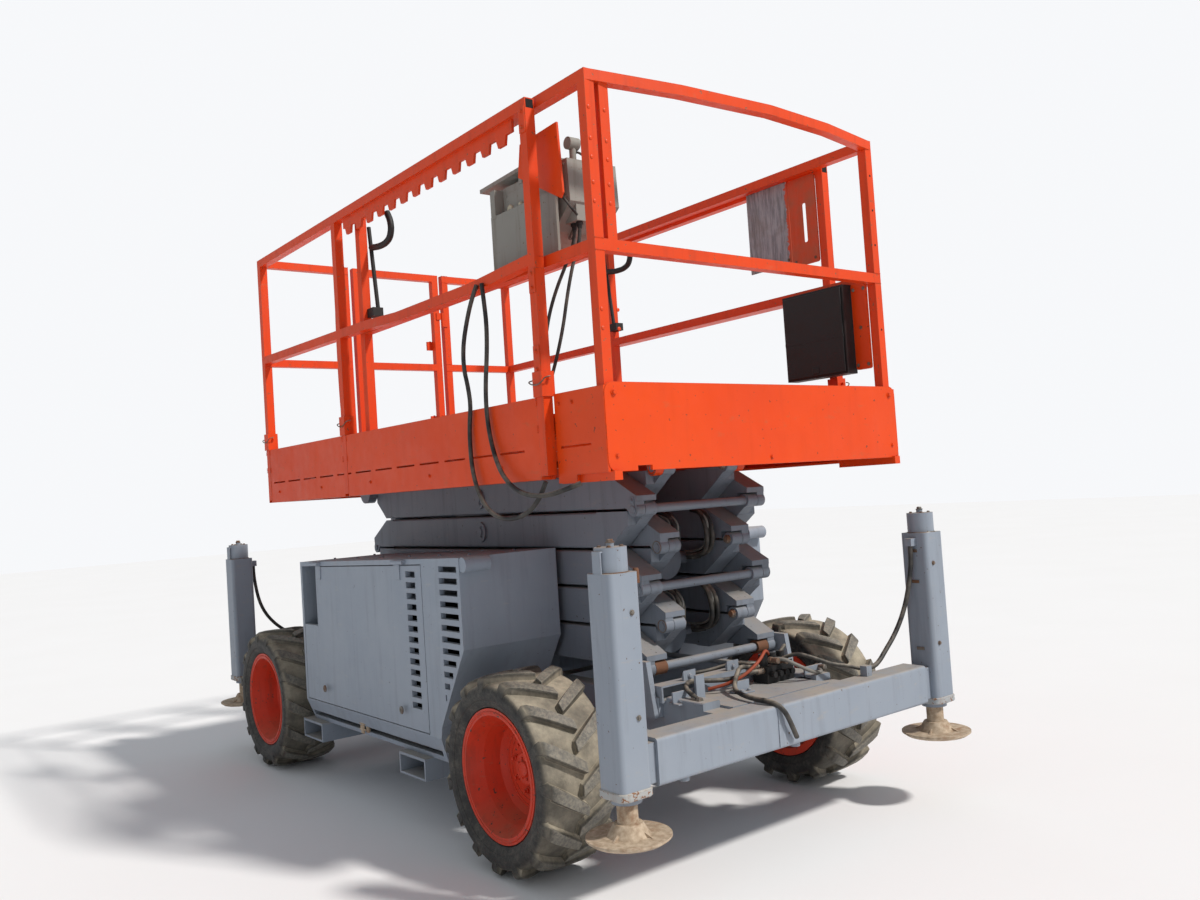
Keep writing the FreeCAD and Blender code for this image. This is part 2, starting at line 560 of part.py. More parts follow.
centre_x = "(front_pin + rear_pin) / 2"
extra = {}
slope = "atan(level_pitch / (barrel_eye - rod_eye))"
for k in (1, 3):
    extra["inner_arms_%d" % k] = [rod("y", ("barrel_eye", level(k - 0.5)),
                                      ("-inner_in - 4", "inner_in + 4"), "eye_pin")]
extra["inner_arms_5"] = [rod("y", (-380, level(4.5)), ("-inner_in - 4", "inner_in + 4"), 30)]
extra["outer_arms_5"] = both(rod("y", ("rear_pin", level(5)), ("outer_out - 1", "bearer_out - 4"),
                                 "pin_reach"),
                             rod("y", ("rear_pin", level(5)), ("bearer_in", "bearer_out - 5"),
                                 "roller_reach"))
for k in range(1, 6):
    middle_z = level(k - 0.5)
    for kind in ("outer", "inner"):
        near, far = kind + "_in", kind + "_out"
        front_low = (k % 2 == 1) == (kind == "outer")
        low_end, high_end = ("front", "rear") if front_low else ("rear", "front")
        low_pin, high_pin = ends[low_end][0], ends[high_end][0]
        arm = [tube(("tube_rear", "tube_front"), (near, far),
                    (middle_z + " - arm_deep / 2", middle_z + " + arm_deep / 2"), "x", "9")]
        arm += arm_end(kind, k, high_end, True) + arm_end(kind, k, low_end, False)
        pieces = both(*arm)
        tools = []
        reach = "inner_out + 2" if kind == "inner" else "outer_out + 6"
        if kind == "outer" or high_end == "rear":
            pieces.append(rod("y", (high_pin, level(k)), ("-%s - 1" % near, near + " + 1"), "cross_reach"))
        pieces += both(rod("y", (high_pin, level(k)), (near + " - 3", reach), "pin_reach"))
        if k == 1:
            pieces.append(rod("y", (low_pin, level(0)), ("-%s - 1" % near, near + " + 1"), "cross_reach"))
            reach = "bracket_out" if kind == "outer" else "roller_out + 4"
            pieces += both(rod("y", (low_pin, level(0)), (near + " - 3", reach), "pin_reach"))
        else:
            tools.append(rod("y", (low_pin, level(k - 1)), ("-(%s) - 5" % far, far + " + 5"),
                             "pin_reach + pin_play"))
        if kind == "outer":
            pieces += both(rod("y", (centre_x, middle_z), ("inner_in - 2", "outer_out + 12"), "pin_reach"),
                           rod("y", (centre_x, middle_z), ("outer_out - 1", "outer_out + 8"), "boss_reach"))
        else:
            tools.append(rod("y", (centre_x, middle_z), ("-inner_out - 20", "inner_out + 20"),
                             "pin_reach + pin_play"))
            if k == 1:
                pieces += both(rod("y", (low_pin, level(0)), ("roller_in", "roller_out"), "roller_reach"))
        name = "%s_arms_%d" % (kind, k)
        node(name, pieces + extra.get(name, []), tools)
ring_seat = both(rod("y", ("front_pin", level(0)), ("outer_in", "outer_out - lug_wide - lug_gap"),
                     "hub_round"))
node("pivot_bushes", ring_seat, [rod("y", ("front_pin", level(0)), ("-outer_out", "outer_out"),
                                     "pin_reach"),
                                 rod("y", ("front_pin", level(0)), ("-outer_in - 1", "outer_in + 1"),
                                     "cross_reach")])

# Lift cylinders: a barrel on one inner pair, and a rod whose cross pin meets the next.

lean = "180 deg - " + slope
for tag, k in (("lower", 1), ("upper", 3)):
    low, high = level(k - 0.5), level(k + 0.5)
    base = ("barrel_eye", low)
    span = "(barrel_eye - rod_eye) / cos(%s)" % slope
    barrel_end = span + " - rod_shown"
    node(tag + "_cylinder_barrel",
         [leaning(base, 0, lean, ("-eye_reach - 10", barrel_end), "barrel_reach"),
          leaning(base, 0, lean, (barrel_end + " - 60", barrel_end + " + 6"), "barrel_reach + 7"),
          leaning(base, 0, lean, ("60", "96"), "barrel_reach + 6")],
         [leaning(base, 0, lean, ("90", barrel_end + " + 12"), "rod_reach + 0.4"),
          rod("y", base, (-90, 90), "eye_pin + pin_play")])
    node(tag + "_cylinder_rod",
         [leaning(base, 0, lean, ("130", span + " - 30"), "rod_reach"),
          rod("y", ("rod_eye", high), (-46, 46), "eye_reach - 2"),
          rod("y", ("rod_eye", high), ("rod_end_gap - inner_in", "inner_in - rod_end_gap"), "eye_pin")])

# Main deck: a floor on ribs and bearers inside deep skirts, which the guard rails stand in.

half = "rail_side / 2"
side_posts = ("rear_rail", "mid_post", "front_post")
gate_posts = ("gate_right - 20 - rail_side / 2", "gate_left + 20 + rail_side / 2")
post_slots = []
for x in side_posts:
    post_slots += both(block(("%s - %s - post_fit" % (x, half), "%s + %s + post_fit" % (x, half)),
                             ("rail_line - %s - post_fit" % half, "deck_out + 5"),
                             ("skirt_low - 5", "skirt_top + 5")))
for y in gate_posts:
    post_slots.append(block(("rear_rail - %s - post_fit" % half, "rear_rail + %s + post_fit" % half),
                            ("%s - %s - post_fit" % (y, half), "%s + %s + post_fit" % (y, half)),
                            ("floor_top - 4 - post_fit", "skirt_top + 5")))
side_slots = []
for i in range(12):
    x = "deck_rear + 80 + %d * slot_pitch" % i
    side_slots += both(block((x, x + " + slot_long"), ("deck_out - skirt_thick - 5", "deck_out + 5"),
                             ("slot_high", "slot_high + slot_deep")))
skirts = both(block(("deck_rear", "deck_front"), ("deck_out - skirt_thick", "deck_out"),
                    ("skirt_low", "skirt_top")),
              block(("deck_rear", "deck_front"), ("deck_out - 44", "deck_out - 1"),
                    ("skirt_low", "skirt_low + skirt_thick")))
tail = block(("deck_rear", "deck_rear + skirt_thick"), ("-deck_out", "deck_out"),
             ("skirt_low", "skirt_top"))
floor = block(("deck_rear", "deck_front"), ("2 - deck_out", "deck_out - 2"),
              ("floor_top - floor_thick", "floor_top"))
under = "floor_top - floor_thick + 1"
bearers = both(block(("deck_rear + 20", "deck_front - 10"), ("bearer_in", "bearer_out"),
                     ("bearer_low", under)))
ribs = [block((x - 25, x + 25), ("4 - deck_out", "deck_out - 4"), ("bearer_low + 22", under))
        for x in (-1000, -560, -120, 320, 760, 1200)]
seam = level(5)
shoes = both(plate([("front_pin - 60", under), ("front_pin - 20", seam + " - 12"),
                    ("front_pin + 20", seam + " - 12"), ("front_pin + 24", under)],
                   ("inner_out - lug_wide", "inner_out")),
             rod("y", ("front_pin", seam), ("inner_out - lug_wide", "inner_out"), "hub_round"))
node("main_deck", skirts + [tail, floor] + bearers + ribs + shoes,
     [rod("y", ("front_pin", seam), ("-inner_out - 3", "inner_out + 3"), "pin_reach + pin_play")]
     + post_slots + side_slots)

# Guard rails of the main deck, with the stepped stop bar under the right top rail.


def upright(x, y, low, high):
    return block(("%s - %s" % (x, half), "%s + %s" % (x, half)),
                 ("%s - %s" % (y, half), "%s + %s" % (y, half)), (low, high))


def lengthways(y, z, start, stop):
    return block((start, stop), ("%s - %s" % (y, half), "%s + %s" % (y, half)),
                 ("%s - %s" % (z, half), "%s + %s" % (z, half)))


def crossways(x, z, start, stop):
    return block(("%s - %s" % (x, half), "%s + %s" % (x, half)), (start, stop),
                 ("%s - %s" % (z, half), "%s + %s" % (z, half)))


def banked(line, side, ends, axis):
    """A bent rail: a line of corners, as wide as side each way across it."""
    edge = [(a, "%s - %s / 2" % (b, side)) for a, b in line]
    edge += [(a, "%s + %s / 2" % (b, side)) for a, b in reversed(line)]
    return plate(edge, ends, axis)


top_edge = "top_rail + rail_side / 2"
rails = []
for x in side_posts:
    rails += both(upright(x, "rail_line", "skirt_low + 12", top_edge))
    rails += both(block(("%s - 26" % x, "%s + 26" % x), ("rail_line - 26", "rail_line + 26"),
                        ("skirt_top + 0.3", "skirt_top + base_high")),
                  rod("x", ("rail_line", "skirt_top + base_high - 24"), ("%s - 40" % x, "%s + 40" % x), 6))
rails += both(lengthways("rail_line", "top_rail", "rear_rail - " + half, "front_post + " + half))
rails.append(lengthways("rail_line", "mid_rail", "rear_rail - " + half, "front_post + " + half))
bent = [("rear_rail - " + half, "mid_rail + 14"), ("125", "mid_rail - 3"), ("420", "mid_rail - 18"),
        ("1000", "mid_rail - 17"), ("front_post + " + half, "mid_rail + 6")]
rails.append(banked(bent, "rail_side", ("-rail_line - " + half, "%s - rail_line" % half), "y"))
for z in ("top_rail", "mid_rail"):
    rails.append(crossways("rear_rail", z, "-rail_line", "gate_right - 20"))
    rails.append(crossways("rear_rail", z, "gate_left + 20", "rail_line"))
for y in gate_posts:
    rails.append(upright("rear_rail", y, "floor_top - 4", top_edge))
teeth = [("rack_start", "top_rail - 18"), ("rack_start", "rack_high")]
for i in range(13):
    x = "rack_start + %d * rack_pitch" % i
    teeth += [(x + " + 18", "rack_high"), (x + " + 30", "rack_low"), (x + " + 72", "rack_low"),
              (x + " + 80", "rack_high")]
teeth += [("rack_start + 13 * rack_pitch + 16", "rack_high"),
          ("rack_start + 13 * rack_pitch + 16", "top_rail - 18")]
rails.append(plate(teeth, ("-rail_line - 5", "5 - rail_line")))
hinge_x, hinge_y = "rear_rail + rail_side / 2 + 8", "gate_left + 6"
gate_hinges = ("mid_rail - hinge_drop", "top_rail - high_drop")
for z in gate_hinges:
    knuckle = (z, z + " + knuckle_high - 0.4")
    rails.append(rod("z", (hinge_x, hinge_y), knuckle, "knuckle_round"))
    rails.append(block(("%s - 8.5" % hinge_x, "%s - 2" % hinge_x), (hinge_y, "gate_left + 40"), knuckle))
node("guard_rails", rails)

gate = [upright("rear_rail", y, "skirt_top + 8", top_edge)
        for y in ("gate_right + 8 + rail_side / 2", "gate_left - 8 - rail_side / 2")]
gate += [crossways("rear_rail", z, "gate_right + 8", "gate_left - 8")
         for z in ("top_rail", "mid_rail", "skirt_top + 27")]
for z in gate_hinges:
    knuckle = (z + " + knuckle_high", z + " + 2 * knuckle_high")
    gate.append(rod("z", (hinge_x, hinge_y), knuckle, "knuckle_round"))
    gate.append(block(("%s - 8.5" % hinge_x, "%s - 2" % hinge_x), ("gate_left - 30", hinge_y), knuckle))
node("entry_gate", gate)
# the blank plates hung on the left top rail: one plain, one rounded with a slot
plate_face = "rail_line - rail_side / 2 - 0.3"
small_low = "top_rail - small_drop"
small_plate = [("small_back", small_low), ("small_front", small_low),
               ("small_front", "top_rail - 10"), ("small_back", "top_rail - 10")]
node("sign_panels", [block(("sign_back", "sign_front"), ("rail_line - 26", plate_face),
                           ("top_rail - sign_drop", "top_rail + 18")),
                     plate(small_plate, ("rail_line - 27", plate_face), "y", "12")],
     [tube(("small_back + 69", "small_back + 91"), ("rail_line - 40", "rail_line"),
           (small_low + " + 95", small_low + " + 265"), "y", "8")])

# Roll-out deck: its floor slides on the main deck, behind a tall front panel.

ext = [block(("ext_rear", "ext_front"), ("2 - ext_out", "ext_out - 2"), ("ext_floor - 8", "ext_floor"))]
ext += both(block(("ext_rear", "ext_front"), ("ext_out - 40", "ext_out"), ("floor_top + 0.4", "ext_floor + 44")),
            block(("deck_front + 30", "ext_front - 2"), ("ext_out - 1", "ext_out + 9"),
                  ("panel_low", "panel_top - 10")),
            block(("deck_front + 30", "deck_front + 130"), ("ext_out - 36", "ext_out + 9"),
                  ("panel_low - 24", "panel_low + 66")),
            block(("deck_front + 30", "ext_front + 12"), ("ext_out - 36", "ext_out - 4"),
                  ("panel_low - 26", "panel_low + 4")))
ext.append(plate([("-panel_out", "panel_low"), ("panel_out", "panel_low"), ("panel_out", "panel_top"),
                  ("-panel_out", "panel_top")], ("ext_front - panel_thick", "ext_front"), "x", "panel_corner"))
notches = both(block(("deck_front + 52", "deck_front + 214"), ("ext_out - 5", "ext_out + 15"),
                     ("slot_high", "slot_high + slot_deep")))
notches.append(block(("ext_front - 20", "ext_front + 5"), (-620, -560), ("panel_low - 5", "panel_low + 16")))
node("rollout_deck", ext, notches)

rails = []
for x in ("ext_post", "ext_front - 32"):
    rails += both(upright(x, "ext_line", "ext_floor + 44.3", "ext_top_rail + rail_side / 2"))
for z in ("ext_top_rail", "ext_mid_rail"):
    rails += both(lengthways("ext_line", z, "ext_post - " + half, "ext_front - 32 + " + half))
rails.append(crossways("ext_front - 32", "ext_mid_rail", "-ext_line", "ext_line"))
rails.append(upright("ext_front - 32", "56 - ext_line", "ext_mid_rail", "ext_top_rail"))
bow = [("4 - ext_line - " + half, "ext_front - 32"), ("-350", "ext_front - 30 + 0.8 * ext_bow"),
       ("60", "ext_front - 32 + ext_bow + 14"), ("400", "ext_front - 34 + 0.9 * ext_bow"),
       ("ext_line + %s - 4" % half, "ext_front - 32")]
edge = [("%s - %s" % (x, half), y) for y, x in bow] + [("%s + %s" % (x, half), y) for y, x in reversed(bow)]
bow_rail = plate(edge, ("ext_top_rail - rail_side / 2 + 1", "ext_top_rail + rail_side / 2 - 1"), "z")
node("rollout_rails", [join(rails), bow_rail])

# Controls on the roll-out deck: the control box under its slanted guard, the manual
# box, and the two release levers with their bent grips.

box_line = [(1017, 2412), (1012, 2243), (1206, 2171), (1371, 2186), (1468, 2266), (1462, 2412)]
tray_line = [(930, 2432), (1330, 2448), (1330, 2462), (930, 2446)]
node("control_box",
     [plate([(str(a), str(b)) for a, b in box_line], (-650, -440)),
      plate([(str(a), str(b)) for a, b in tray_line], (-660, -430)),
      block((1180, 1200), (-655, -435), (2400, 2450)),
      block((1040, 1070), (-688, -645), (2300, 2405)), block((1400, 1430), (-688, -645), (2300, 2405)),
      block((1036, 1434), ("-686.7", -676), (2085.3, 2310)),
      block((1400, 1462), (-622, -576), (2205, 2262)),
      rod("z", (1250, -560), (2447, 2500), 16), rod("z", (1330, -520), (2440, 2530), 12),
      rod("y", (1330, 2520), (-542, -498), 22)])
node("control_guard",
     [plate([("1238", "2400"), ("1260", "2510"), ("1478", "2520"), ("1490", "2282"), ("1474", "2266")],
            (-696.3, -688.3))])
node("manual_box", [block((1244, 1560), (626, 686.7), (1700, 2060)),
                    block((1250, 1554), (618, 628), (1850, 1862))])
node("manual_plate", [plate([("1564", "1712"), ("1636", "1712"), ("1636", "2060"), ("1564", "2060")],
                            ("676", "686.7"), "y", "10")])
lever_top = val("ext_top_rail")
grip_drops = [(190, 54), (216, 93), (222, 133), (204, 167), (162, 181), (100, 181), (24, 169)]
grip_line = [(x, -668, lever_top - drop) for x, drop in grip_drops]
shaft = leaning(("57", "ext_top_rail - 463"), -668, "97.2 deg", ("0", "392"), 9)
clamp = block(("ext_post + rail_side / 2 + 0.3", 84), ("-ext_line", -658),
              ("ext_top_rail - 485", "ext_top_rail - 447"))
grip = hose("lever grip", grip_line, 14)
node("release_levers", both(shaft, clamp, grip))

# Hoses on the stack's inner arms, each clipped to the arm below and bent round its pin.

for k in (1, 3):
    seam = val(level(k))
    runs = []
    for y, bulge in ((112, 0), (90, -10)):
        runs.append([(1120, y, seam - 62), (1176, y, seam - 60), (1232, y - 4, seam - 42),
                     (1266 + bulge, y - 14, seam + 6), (1262 + bulge, y - 18, seam + 66),
                     (1222, y - 12, seam + 112), (1166, y - 6, seam + 120)])
    loops = [hose("arm hose", run, 9) for run in runs]
    clips = [block((1120, 1150), (84, 135.7), (seam - 76, seam - 46))]
    node("stack_hoses_%d" % k, both(*(loops + clips)))

# Free cables and hoses: each route is a table of points, with the cable's reach.

leg_route = [(1729, 708, 999.8), (1729, 708, 950), (1722, 704, 895), (1714, 698, 840),
             (1706, 686, 786), (1700, 664, 735), (1697, 632, 690), (1696, 592, 650),
             (1697, 546, 616), (1700, 502, 584), (1700, 466, 568), (1700, 430.2, 568)]
routes = {
    "rail_cable_long": (8, [(1062, -782.2, 2052), (1030, -787, 2006), (992, -790, 1930),
                            (962, -792, 1850), (953, -790, 1770), (972, -788, 1700),
                            (980, -786, 1630), (963, -786, 1560), (962, -788, 1480),
                            (974, -792, 1400), (1008, -795, 1320), (1068, -796, 1254),
                            (1146, -796, 1222), (1228, -794, 1218), (1310, -790, 1236),
                            (1376, -784, 1282), (1404, -776, 1337)]),
    "rail_cable_short": (8, [(1096, -782.2, 2050), (1110, -786, 1990), (1122, -788, 1900),
                             (1116, -790, 1800), (1092, -788, 1700), (1084, -787, 1610),
                             (1096, -788, 1520), (1128, -792, 1440), (1186, -803, 1370),
                             (1262, -808, 1320), (1350, -809, 1294), (1440, -802, 1290),
                             (1520, -782, 1306), (1560, -752, 1323)]),
    "box_cable_rear": (6, [(1416, -600, 2204.8), (1416, -600, 2150), (1398, -630, 2070),
                           (1362, -652, 1990), (1328, -664, 1910), (1306, -670, 1830),
                           (1292, -680, 1750), (1282, -692, 1680), (1272, -704, 1615),
                           (1272, -704, 1558.2)]),
    "box_cable_front": (6, [(1446, -600, 2204.8), (1446, -600, 2150), (1438, -626, 2080),
                            (1428, -642, 2010), (1416, -654, 1935), (1402, -662, 1860),
                            (1380, -672, 1780), (1356, -686, 1700), (1332, -702, 1625),
                            (1332, -702, 1558.2)]),
    "left_leg_hose": (9, leg_route),
    "rear_leg_hose": (9, [(2 * sizes["middle"] - x, -y, z) for x, y, z in leg_route]),
}
for name, (reach, points) in routes.items():
    node(name, [hose(name, points, reach)])

doc.recompute()
faults = []
for thing in doc.Objects:
    if "Invalid" in thing.State or "Error" in thing.State:
        faults.append((thing.Name, thing.Label, thing.State))
for name, thing in nodes.items():
    if thing.Shape.isNull() or not thing.Shape.isValid():
        faults.append((name, "bad shape"))
if faults:
    raise RuntimeError("faults: %s" % faults[:12])
for name, thing in nodes.items():
    thing.Shape.exportStep("parts/%s.step" % name)
    print(name, len(thing.Shape.Solids), round(thing.Shape.Volume / 1e6, 2), "litres")
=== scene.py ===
import math
import random
import bmesh
import bpy
from mathutils import Matrix, Vector


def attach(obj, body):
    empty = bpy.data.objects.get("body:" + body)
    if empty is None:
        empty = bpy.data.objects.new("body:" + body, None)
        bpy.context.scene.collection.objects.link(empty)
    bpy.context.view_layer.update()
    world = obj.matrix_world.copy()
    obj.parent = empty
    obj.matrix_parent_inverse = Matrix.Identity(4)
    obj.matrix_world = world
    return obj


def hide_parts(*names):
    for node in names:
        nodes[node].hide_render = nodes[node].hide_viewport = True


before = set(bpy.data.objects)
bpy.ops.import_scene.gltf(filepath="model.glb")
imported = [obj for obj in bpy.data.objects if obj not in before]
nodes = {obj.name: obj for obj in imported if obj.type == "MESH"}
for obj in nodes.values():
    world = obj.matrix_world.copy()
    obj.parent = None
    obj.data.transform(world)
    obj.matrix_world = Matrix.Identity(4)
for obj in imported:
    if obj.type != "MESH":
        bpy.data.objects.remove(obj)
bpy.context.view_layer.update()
scene = bpy.context.scene
scene.view_settings.view_transform = "Standard"
random.seed(7)
print("loaded", len(nodes), "nodes")

# Places shared by the pieces, in metres, counted from the middle of the whole machine.

shift = -0.0745  # the axles' middle, seen from the machine's middle
axlePlace, hubHeight, wheelPlane = 1.1, 0.345, 0.716
frontPin, rearPin, levelZero, levelPitch = 1.307 + shift, -0.79 + shift, 0.643, 0.144
outerOut, innerIn, innerOut = 0.334, 0.136, 0.232  # the arms' faces, counted across
deckSide = 0.773
railLine, railHalf, topRail, midRail = 0.755, 0.019, 2.592, 2.07
extLine, extTop, extMid, extFront = 0.706, 2.605, 2.066, 1.689 + shift  # the roll-out rails
postX, postY, postHalf = 1.729 + shift, 0.786, 0.058
podBack, podFront = -0.665 + shift, 0.85 + shift


def tone(red, green, blue):  # a colour from 0-255 display values, as the shader wants it
    shades = [value / 255 for value in (red, green, blue)]
    linear = [v / 12.92 if v <= 0.04045 else ((v + 0.055) / 1.055) ** 2.4 for v in shades]
    return (*linear, 1.0)


def at(x, y, z):  # a point counted from the axles' middle, seen from the machine's middle
    return (x + shift, y, z)


def sideName(outward):
    return "left" if outward > 0 else "right"


# Camera at the photograph's place and angle.

cameraPlace = {"spot": (4.1204 + shift, -2.6878, 1.298), "yaw": 141.709, "pitch": 2.245,
               "roll": -3.761, "focus": 1015.9, "width": 1200, "sensor": 36}


def setCamera(place):
    yaw, pitch, roll = (math.radians(place[key]) for key in ("yaw", "pitch", "roll"))
    ahead = Vector((math.cos(yaw) * math.cos(pitch), math.sin(yaw) * math.cos(pitch), math.sin(pitch)))
    level = Vector((math.sin(yaw), -math.cos(yaw), 0))
    upright = level.cross(ahead)
    right = level * math.cos(roll) + upright * math.sin(roll)
    up = upright * math.cos(roll) - level * math.sin(roll)
    data = bpy.data.cameras.new("camera")
    data.sensor_width = place["sensor"]
    data.lens = place["focus"] * place["sensor"] / place["width"]
    camera = bpy.data.objects.new("camera", data)
    scene.collection.objects.link(camera)
    turn = Matrix((right, up, -ahead)).transposed().to_4x4()
    camera.matrix_world = Matrix.Translation(place["spot"]) @ turn
    scene.camera = camera


setCamera(cameraPlace)

# Materials. Each is a paint, rubber or metal with its own variation, wear, dust and bump.
# A grain is a noise: scale, detail, roughness, and the values where it starts and is full.


class Shader:  # makes and joins the nodes of one material

    def __init__(self, name):
        self.material = bpy.data.materials.new(name)
        self.material.use_nodes = True
        self.tree = self.material.node_tree
        self.body = self.tree.nodes["Principled BSDF"]
        self.place = self.add("ShaderNodeTexCoord").outputs["Object"]
        self.normal = self.add("ShaderNodeNewGeometry").outputs["Normal"]

    def put(self, socket, value):  # a socket takes a link, or else a plain value
        if hasattr(value, "is_linked"):
            self.tree.links.new(value, socket)
        else:
            socket.default_value = value

    def add(self, kind, inputs=None, **settings):
        item = self.tree.nodes.new(kind)
        for key, value in settings.items():
            setattr(item, key, value)
        for key, value in (inputs or {}).items():
            self.put(item.inputs[key], value)
        return item

    def stretch(self, scale):
        return self.add("ShaderNodeMapping", {"Vector": self.place, "Scale": scale}).outputs["Vector"]

    def noise(self, grain, vector=None, out=(0, 1)):
        scale, detail, rough, low, high = grain
        spots = self.add("ShaderNodeTexNoise", {"Vector": vector or self.place, "Scale": scale,
                                                "Detail": detail, "Roughness": rough})
        return self.span(spots.outputs["Fac"], low, high, *out)

    def span(self, value, low, high, start=0.0, stop=1.0):
        return self.add("ShaderNodeMapRange", {"Value": value, "From Min": low, "From Max": high,
                                               "To Min": start, "To Max": stop}).outputs["Result"]

    def maths(self, kind, first, second=None, clamp=False):
        inputs = {0: first} if second is None else {0: first, 1: second}
        return self.add("ShaderNodeMath", inputs, operation=kind, use_clamp=clamp).outputs[0]

    def times(self, *values):  # the product, kept between 0 and 1
        result = values[0]
        for value in values[1:]:
            result = self.maths("MULTIPLY", result, value, True)
        return result

    def vectors(self, kind, first, second=(0, 0, 0), output="Vector"):
        return self.add("ShaderNodeVectorMath", {0: first, 1: second}, operation=kind).outputs[output]

    def part(self, vector, axis):
        return self.add("ShaderNodeSeparateXYZ", {"Vector": vector}).outputs[axis]

    def mix(self, share, first, second):
        item = self.add("ShaderNodeMix", {0: share, 6: first, 7: second}, data_type="RGBA")
        return item.outputs[2]

    def upward(self, low=0.55, high=0.95):
        return self.span(self.part(self.normal, "Z"), low, high)

    def edge(self, radius):  # worn edges: where the rounded normal leaves the flat one
        rounded = self.add("ShaderNodeBevel", {"Radius": radius}, samples=4).outputs["Normal"]
        return self.span(self.vectors("DOT_PRODUCT", rounded, self.normal, "Value"), 0.985, 0.86)

    def bump(self, *layers):
        last = None
        for height, distance, strength in layers:
            item = self.add("ShaderNodeBump", {"Height": height, "Distance": distance,
                                               "Strength": strength})
            if last:
                self.tree.links.new(last, item.inputs["Normal"])
            last = item.outputs["Normal"]
        self.tree.links.new(last, self.body.inputs["Normal"])

    def feed(self, **inputs):
        for key, value in inputs.items():
            self.put(self.body.inputs[key.replace("_", " ")], value)
        return self.material


paintStyle = {
    "patch": (1.7, 5, 0.6, 0.36, 0.66), "patchShare": 0.55,  # large faded areas
    "fine": (23, 6, 0.65, 0.35, 0.7), "fineShare": 0.16,
    "runs": (1, 5, 0.6, 0.52, 0.74), "runsStretch": (26, 26, 2.2),  # grime down the sides
    "spread": (6, 5, 0.6, 0.3, 0.62), "spreadRange": (0.25, 1),  # where dust settles
    "chip": (62, 3, 0.6), "chipStep": 0.02,
    "rub": (34, 4, 0.7, 0.44, 0.6), "edgeReach": 0.004,  # bare edges
    "scuff": (1, 5, 0.65, 0.60, 0.66), "scuffStretch": (7, 7, 34), "scuffShare": 0.25,
    "peel": (420, 2, 0.5, 0.2, 0.8), "peelDepth": 0.0004, "peelShare": 0.35,  # the paint's skin
    "wave": (4.2, 2, 0.4, 0.25, 0.75), "waveDepth": 0.004, "dentDepth": 0.007,
    "wornDepth": 0.0006, "wornShare": 0.5, "dustRough": 0.4, "roughStep": 0.14,
    "shine": 0.32, "coat": 0.05, "coatRough": 0.3,
}


def paint(name, base, faded, bare, dust, grime, rough=0.42, dents=0.0, chips=0.66, edgeWear=0.55,
          dustShare=0.5, streaks=0.35, style=paintStyle):
    base, faded, bare, dust, grime = (tone(*shade) for shade in (base, faded, bare, dust, grime))
    shader = Shader(name)
    patch = shader.noise(style["patch"])
    fine = shader.noise(style["fine"])
    colour = shader.mix(shader.times(patch, style["patchShare"]), base, faded)
    colour = shader.mix(shader.times(fine, style["fineShare"]), colour, faded)
    runs = shader.noise(style["runs"], shader.stretch(style["runsStretch"]))
    colour = shader.mix(shader.times(runs, streaks), colour, grime)
    spread = shader.noise(style["spread"], out=style["spreadRange"])
    dusty = shader.times(shader.upward(), spread, dustShare)
    colour = shader.mix(dusty, colour, dust)
    chipped = shader.noise((*style["chip"], chips, chips + style["chipStep"]))
    rub = shader.noise(style["rub"])
    worn = shader.times(shader.edge(style["edgeReach"]), rub, edgeWear)
    worn = shader.maths("MAXIMUM", worn, chipped, True)
    colour = shader.mix(worn, colour, bare)
    dull = shader.span(fine, 0, 1, rough, rough + style["roughStep"])
    dull = shader.maths("ADD", shader.times(dusty, style["dustRough"]), dull, True)
    scuff = shader.noise(style["scuff"], shader.stretch(style["scuffStretch"]))
    colour = shader.mix(shader.times(scuff, rub, style["scuffShare"]), colour, dust)
    shader.bump((shader.noise(style["wave"]), style["waveDepth"] + style["dentDepth"] * dents, dents),
                (shader.noise(style["peel"]), style["peelDepth"], style["peelShare"]),
                (shader.maths("SUBTRACT", 1.0, worn, True), style["wornDepth"], style["wornShare"]))
    return shader.feed(Base_Color=colour, Roughness=dull, Specular_IOR_Level=style["shine"],
                       Coat_Weight=style["coat"], Coat_Roughness=style["coatRough"])


metalStyle = {"grain": (48, 5, 0.6, 0.35, 0.65), "spots": (13, 7, 0.7), "spotsFrom": 0.62,
              "spotsFull": 0.72, "pits": (90, 5, 0.6, 0.3, 0.7), "pitDepth": 0.0006, "pitShare": 0.5,
              "rustShine": 0.05, "rustRough": 0.85}


def metal(name, base, dark, rust, rough, rusty, metallic, style=metalStyle):
    shader = Shader(name)
    colour = shader.mix(shader.noise(style["grain"]), tone(*base), tone(*dark))
    spots = shader.noise((*style["spots"], style["spotsFrom"] - rusty, style["spotsFull"] - rusty * 0.5))
    colour = shader.mix(spots, colour, tone(*rust))
    shine = shader.span(spots, 0, 1, metallic, style["rustShine"])
    dull = shader.span(spots, 0, 1, rough, style["rustRough"])
    shader.bump((shader.noise(style["pits"]), style["pitDepth"], style["pitShare"]))
    return shader.feed(Base_Color=colour, Roughness=dull, Metallic=shine)


softStyle = {"patch": (14, 6, 0.65, 0.42, 0.72), "grain": (4, 0.6, 0.2, 0.8), "grainShare": 0.6,
             "up": (0.1, 0.95), "upShare": 0.6, "allOver": 0.2, "roughStep": 0.2}


def soft(name, base, dust, rough, dustShare, grainSize=240, depth=0.0005, style=softStyle):
    shader = Shader(name)
    patch = shader.noise(style["patch"])
    up = shader.times(shader.upward(*style["up"]), style["upShare"])
    share = shader.times(shader.maths("ADD", up, style["allOver"], True), patch)
    colour = shader.mix(shader.times(share, dustShare * 2), tone(*base), tone(*dust))
    shader.bump((shader.noise((grainSize, *style["grain"])), depth, style["grainShare"]))
    dull = shader.span(patch, 0, 1, rough, rough + style["roughStep"])
    return shader.feed(Base_Color=colour, Roughness=dull)
